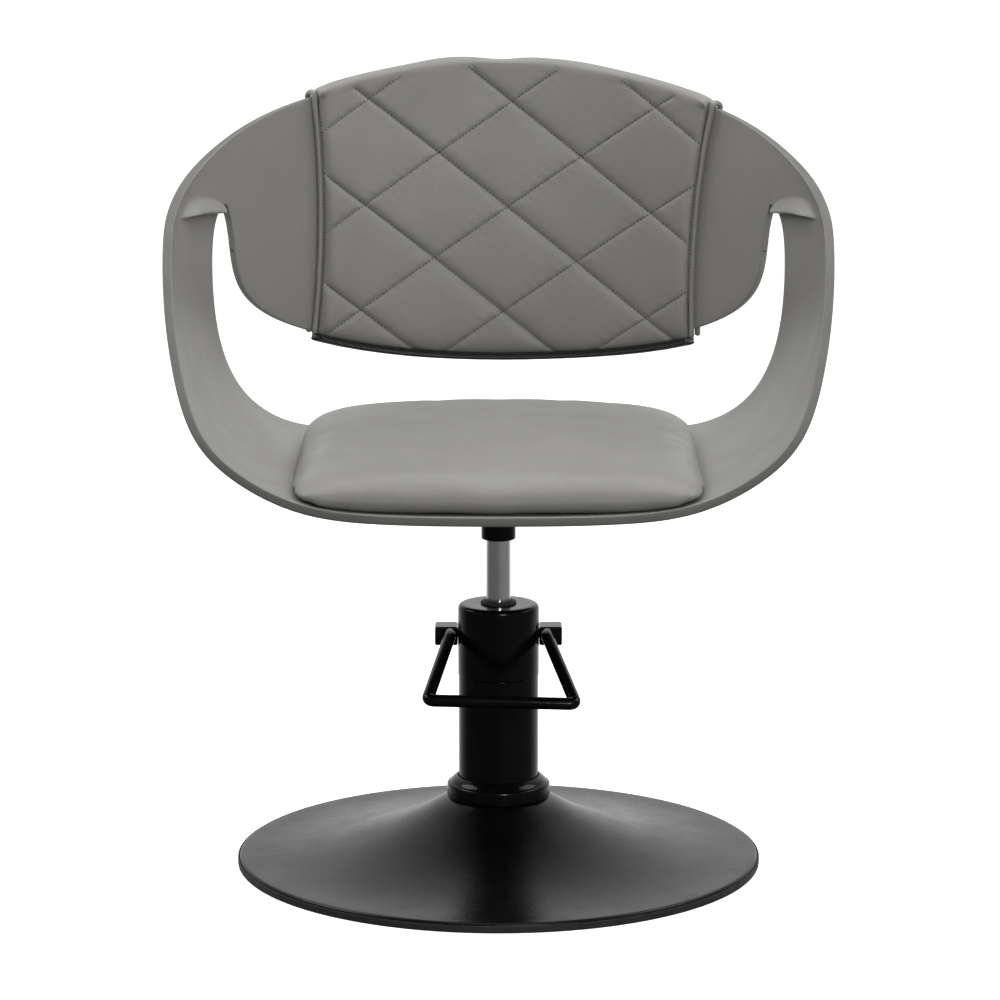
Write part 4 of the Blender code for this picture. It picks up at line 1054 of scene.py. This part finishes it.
# The cushion's outside from the middle of its underside to its crown: inset in metres, and how far
# up it is from the shell to the crown.
CUSHION_PROFILE = (
    (0.205, 0.0), (0.14, 0.0), (0.08, 0.0), (0.03, 0.0), (0.009, 0.0), (0.0028, 0.05), (0.0004, 0.14),
    (0.0, 0.28), (0.0010, 0.42), (0.0036, 0.57), (0.0080, 0.71), (0.0148, 0.84), (0.0240, 0.94),
    (0.038, 1.0), (0.07, 1.0), (0.11, 1.0), (0.16, 1.0), (0.205, 1.0),
)
SWELL_PRESSURE = 4.0
SWELL_CAP = 0.006
SWELL_SHARE = 0.6  # the part of the cloth's swelling that is kept
SWELL_ROOM = 0.0022  # the form starts this much smaller than the finished cushion
SHELL_CLEARANCE = 0.0008  # between the cushion's underside and the shell
FRONT_REACH = 0.0042  # how far the front corners reach out towards the shell's lip


def cushion_grid(shell_tree, sides=320):
    """The cushion's form, squarer at its front corners than at its rear ones."""
    turn = np.linspace(0, 2 * math.pi, sides, endpoint=False)
    c, s = np.cos(turn), np.sin(turn)
    power = 2 / (9.5 - 6.5 * s)
    outline = np.stack([np.sign(c) * np.abs(c) ** power, np.sign(s) * np.abs(s) ** power], -1)
    rings = []
    for inset, part in CUSHION_PROFILE:
        xs = outline[:, 0] * (CUSHION_WIDTH / 2 - inset - SWELL_ROOM)
        ys = CUSHION_MIDDLE_Y + outline[:, 1] * (CUSHION_DEPTH / 2 - inset - SWELL_ROOM)
        ys -= FRONT_REACH * np.sqrt(np.maximum(-s, 0.0)) * (1 - part) ** 0.5
        low = np.array([shell_top(shell_tree, x, y) for x, y in zip(xs, ys)]) + 0.0012
        high = PAN_Z + crown_height(xs, ys)
        rings.append(np.stack([xs, ys, low + (high - low) * part], -1))
    return np.array(rings)


def shell_top(shell_tree, x, y):
    """The shell's upper face under a point, or at its lip where the point is just past it."""
    for back in (0.0, 0.006, 0.012):
        hit = shell_tree.ray_cast(Vector((x, y + back, PAN_Z + 0.20)), Vector((0, 0, -1)))[0]
        if hit is not None:
            return hit.z
    return PAN_Z + HALF_WALL


def swell(piece, pressure, cap, frames=20):
    """Blows the mesh up as cloth: its points at rest, and how far each moves, held within cap."""
    scene = bpy.context.scene
    rest = np.array([v.co for v in piece.data.vertices])
    cloth = piece.modifiers.new("swell", "CLOTH")
    cloth.settings.use_pressure = True
    cloth.settings.uniform_pressure_force = pressure
    cloth.settings.effector_weights.gravity = 0.0
    cloth.settings.quality = 5
    cloth.settings.tension_stiffness = 25
    cloth.settings.compression_stiffness = 25
    cloth.settings.bending_stiffness = 2.0
    cloth.collision_settings.use_collision = False
    for number in range(1, frames + 1):
        scene.frame_set(number)
    evaluated = piece.evaluated_get(bpy.context.evaluated_depsgraph_get())
    moved = np.array([v.co for v in evaluated.data.vertices])
    piece.modifiers.remove(cloth)
    scene.frame_set(1)
    step = moved - rest
    size = np.linalg.norm(step, axis=1, keepdims=True)
    return rest, step * np.minimum(1.0, cap / np.maximum(size, 1e-9))


def make_cushion(shell):
    shell_tree = tree_of(shell)
    mesh = quads_mesh("seat_cushion", cushion_grid(shell_tree), False, True, caps=(0, -1))
    piece = bpy.data.objects.new("seat_cushion", mesh)
    bpy.context.scene.collection.objects.link(piece)
    remesh = piece.modifiers.new("even", "REMESH")
    remesh.mode = "VOXEL"
    remesh.voxel_size = 0.005
    evaluated = piece.evaluated_get(bpy.context.evaluated_depsgraph_get())
    fine = bpy.data.meshes.new_from_object(evaluated)
    piece.modifiers.clear()
    piece.data = fine
    rest, step = swell(piece, SWELL_PRESSURE, SWELL_CAP)
    fine.vertices.foreach_set("co", (rest + step * SWELL_SHARE).astype(np.float32).ravel())
    settle(piece, shell_tree)
    fine.materials.clear()
    fine.materials.append(LOOKS["vinyl"])
    fine.shade_smooth()
    smooth = piece.modifiers.new("smooth", "SUBSURF")
    smooth.levels = smooth.render_levels = 1
    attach(piece, "seat")
    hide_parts("seat_cover", "seat_foam")


def settle(piece, shell_tree):
    """Smooths the voxel steps and keeps the underside on the shell."""
    bm = bmesh.new()
    bm.from_mesh(piece.data)
    for _ in range(4):
        axes = {"use_axis_x": True, "use_axis_y": True, "use_axis_z": True}
        bmesh.ops.smooth_vert(bm, verts=bm.verts, factor=0.5, **axes)
    for vertex in bm.verts:
        x, y, z = vertex.co
        if z > PAN_Z + 0.05:
            continue
        vertex.co.z = max(z, shell_top(shell_tree, x, y) + SHELL_CLEARANCE)
    bm.to_mesh(piece.data)
    bm.free()


# Pedal ----------


PEDAL_RADIUS = 0.0068
PEDAL_BEND = 0.0085  # how far from each corner the bend of the bar starts
PEDAL_HALF_WIDTH = 0.0800
PEDAL_TILT = 0.0020  # the foot bar is bent: its right end hangs lower
PEDAL_SKEW = -0.0015
PEDAL_LEAD = 0.012  # the straight stretch in front of each lug


def bent_route(corners, bend):
    """A route through the corners, each of them rounded."""
    corners = np.array(corners, float)
    points = [corners[0]]
    for before, corner, after in zip(corners, corners[1:], corners[2:]):
        start = corner + (before - corner) / np.linalg.norm(before - corner) * bend
        end = corner + (after - corner) / np.linalg.norm(after - corner) * bend
        points += corner_curve(start, corner, end, 10)
    return points + [corners[-1]]


def make_pedal_bar():
    """The foot bar, one bent rod from lug to lug."""
    low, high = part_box("pedal_bar")
    lug_low, lug_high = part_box("pedal_lug_right")
    root_x = (lug_low.x + lug_high.x) / 2 - 0.004
    root_z = (lug_low.z + lug_high.z) / 2 + 0.003
    root_y = lug_low.y - GAP
    bar_y = low.y + PEDAL_RADIUS
    bar_z = low.z + PEDAL_RADIUS
    middle_x = (low.x + high.x) / 2 + PEDAL_SKEW
    corners = [
        (-root_x, root_y, root_z),
        (-root_x, root_y - PEDAL_LEAD, root_z),
        (middle_x - PEDAL_HALF_WIDTH, bar_y, bar_z + PEDAL_TILT),
        (middle_x + PEDAL_HALF_WIDTH, bar_y, bar_z - PEDAL_TILT),
        (root_x, root_y - PEDAL_LEAD, root_z),
        (root_x, root_y, root_z),
    ]
    mesh = tube_mesh("pedal_bar_fine", bent_route(corners, PEDAL_BEND), PEDAL_RADIUS, 28)
    add_piece("pedal_bar_fine", mesh, "gloss_black", "pedal", "gloss_black", "pedal_bar", sharp=60.0)


# Studio ----------


MIDDLE = (0.0, 0.0, 0.5)  # what the lights are aimed at
LAMPS = (  # name, place, side length and power
    ("overhead", (0.1, 0.0, 2.4), 1.6, 26.0),
    ("right", (1.7, 0.20, 1.9), 1.2, 17.0),
    ("left", (-1.7, 0.25, 1.9), 1.2, 22.0),
    ("front", (0.7, -3.0, 1.3), 0.7, 34.0),
)
# Brightness of the studio's walls by direction: axis, its low and high, and the strength at each.
WORLD_LIGHT = (
    ("Y", 0.25, 0.95, 0.16, 1.05),
    ("Z", 0.10, 0.90, 0.0, 0.20),
    ("X", -0.20, 0.80, 0.0, 0.12),
)
CAMERA_PLACE = (0.0, -4.5, 1.273)
CAMERA_AIM = (0.0, 0.0, 0.43)
CAMERA_LENS = 150.28
CAMERA_SHIFT = (0.0015, -0.0205)


def aim_at(item, place, aim):
    item.location = place
    item.rotation_euler = (Vector(aim) - Vector(place)).to_track_quat("-Z", "Y").to_euler()
    bpy.context.scene.collection.objects.link(item)


def make_lamps():
    for name, place, size, power in LAMPS:
        light = bpy.data.lights.new(name, "AREA")
        light.shape = "RECTANGLE"
        light.size = light.size_y = size
        light.energy = power
        lamp = bpy.data.objects.new(name, light)
        lamp.visible_camera = False
        aim_at(lamp, place, MIDDLE)


def make_world():
    """Soft light from all round, brighter behind the chair, above it and to its right."""
    world = bpy.data.worlds.new("studio")
    bpy.context.scene.world = world
    world.use_nodes = True
    tree = world.node_tree
    background = tree.nodes["Background"]
    background.inputs["Color"].default_value = (1.0, 1.0, 1.0, 1.0)
    toward = tree.nodes.new("ShaderNodeSeparateXYZ")
    tree.links.new(tree.nodes.new("ShaderNodeTexCoord").outputs["Generated"], toward.inputs["Vector"])
    total = None
    for axis, low, high, dim, bright in WORLD_LIGHT:
        ramp = tree.nodes.new("ShaderNodeMapRange")
        tree.links.new(toward.outputs[axis], ramp.inputs["Value"])
        for key, value in (("From Min", low), ("From Max", high), ("To Min", dim), ("To Max", bright)):
            ramp.inputs[key].default_value = value
        if total is None:
            total = ramp.outputs["Result"]
            continue
        add = tree.nodes.new("ShaderNodeMath")
        add.operation = "ADD"
        tree.links.new(total, add.inputs[0])
        tree.links.new(ramp.outputs["Result"], add.inputs[1])
        total = add.outputs[0]
    tree.links.new(total, background.inputs["Strength"])


def pale_look(name, glow, shine):
    n = Nodes(name, (0.92, 0.92, 0.915), 0.9)
    n.mottled(0.7, 0.995, 1.0)
    n.bump((n.noise(40.0), 0.0002))
    n.set(Emission_Color=(1.0, 1.0, 1.0, 1.0), Emission_Strength=glow, Specular_IOR_Level=shine)
    return n.material


def add_backdrop(name, look, grid, closed, casts_shadow):
    """A piece of the stage that neither lights the chair nor shows in it."""
    mesh = quads_mesh(name, grid, closed, False)
    mesh.materials.append(look)
    mesh.shade_smooth()
    backdrop = bpy.data.objects.new(name, mesh)
    backdrop.visible_diffuse = False
    backdrop.visible_glossy = False
    backdrop.visible_shadow = casts_shadow
    bpy.context.scene.collection.objects.link(backdrop)


def cove(start, level, bend, height):
    """The outline of a floor that bends up into a wall: (distance, z) from where the bend starts."""
    turn = np.linspace(0, math.pi / 2, 24)
    curve = [(start + bend * math.sin(a), level + bend - bend * math.cos(a)) for a in turn]
    return curve + [(start + bend, height)]


def make_stage():
    """The floor with its backdrop, and a round wall outside it that only the camera sees."""
    half_width = 12.6
    profile = [(-9.0, 0.0)] + cove(6.0, 0.0, 3.0, 7.0)
    grid = np.array([[(x, y, z) for y, z in profile] for x in (-half_width, half_width)])
    add_backdrop("studio_floor", pale_look("pale_floor", 0.80, 0.1), grid, False, True)

    under = -0.004
    profile = [(8.0, under)] + cove(15.0, under, 3.0, 12.0)
    turn = np.linspace(0, 2 * math.pi, 96, endpoint=False)
    grid = np.array([[(r * math.cos(a), r * math.sin(a), z) for r, z in profile] for a in turn])
    add_backdrop("studio_wall", pale_look("pale_wall", 1.0, 0.0), grid, True, False)


def make_camera():
    camera = bpy.data.cameras.new("camera")
    camera.sensor_width = 36.0
    camera.lens = CAMERA_LENS
    camera.shift_x, camera.shift_y = CAMERA_SHIFT
    holder = bpy.data.objects.new("camera", camera)
    aim_at(holder, CAMERA_PLACE, CAMERA_AIM)
    bpy.context.scene.camera = holder


def main():
    bpy.context.scene.view_settings.view_transform = "Standard"
    finish_frame_nodes()
    make_turned_parts()
    shell = make_shell()
    panel = make_quilted_panel()
    make_rear_panel()
    make_piping()
    make_stitching(panel)
    make_zip()
    make_cushion(shell)
    make_pedal_bar()
    make_world()
    make_stage()
    make_lamps()
    make_camera()


main()
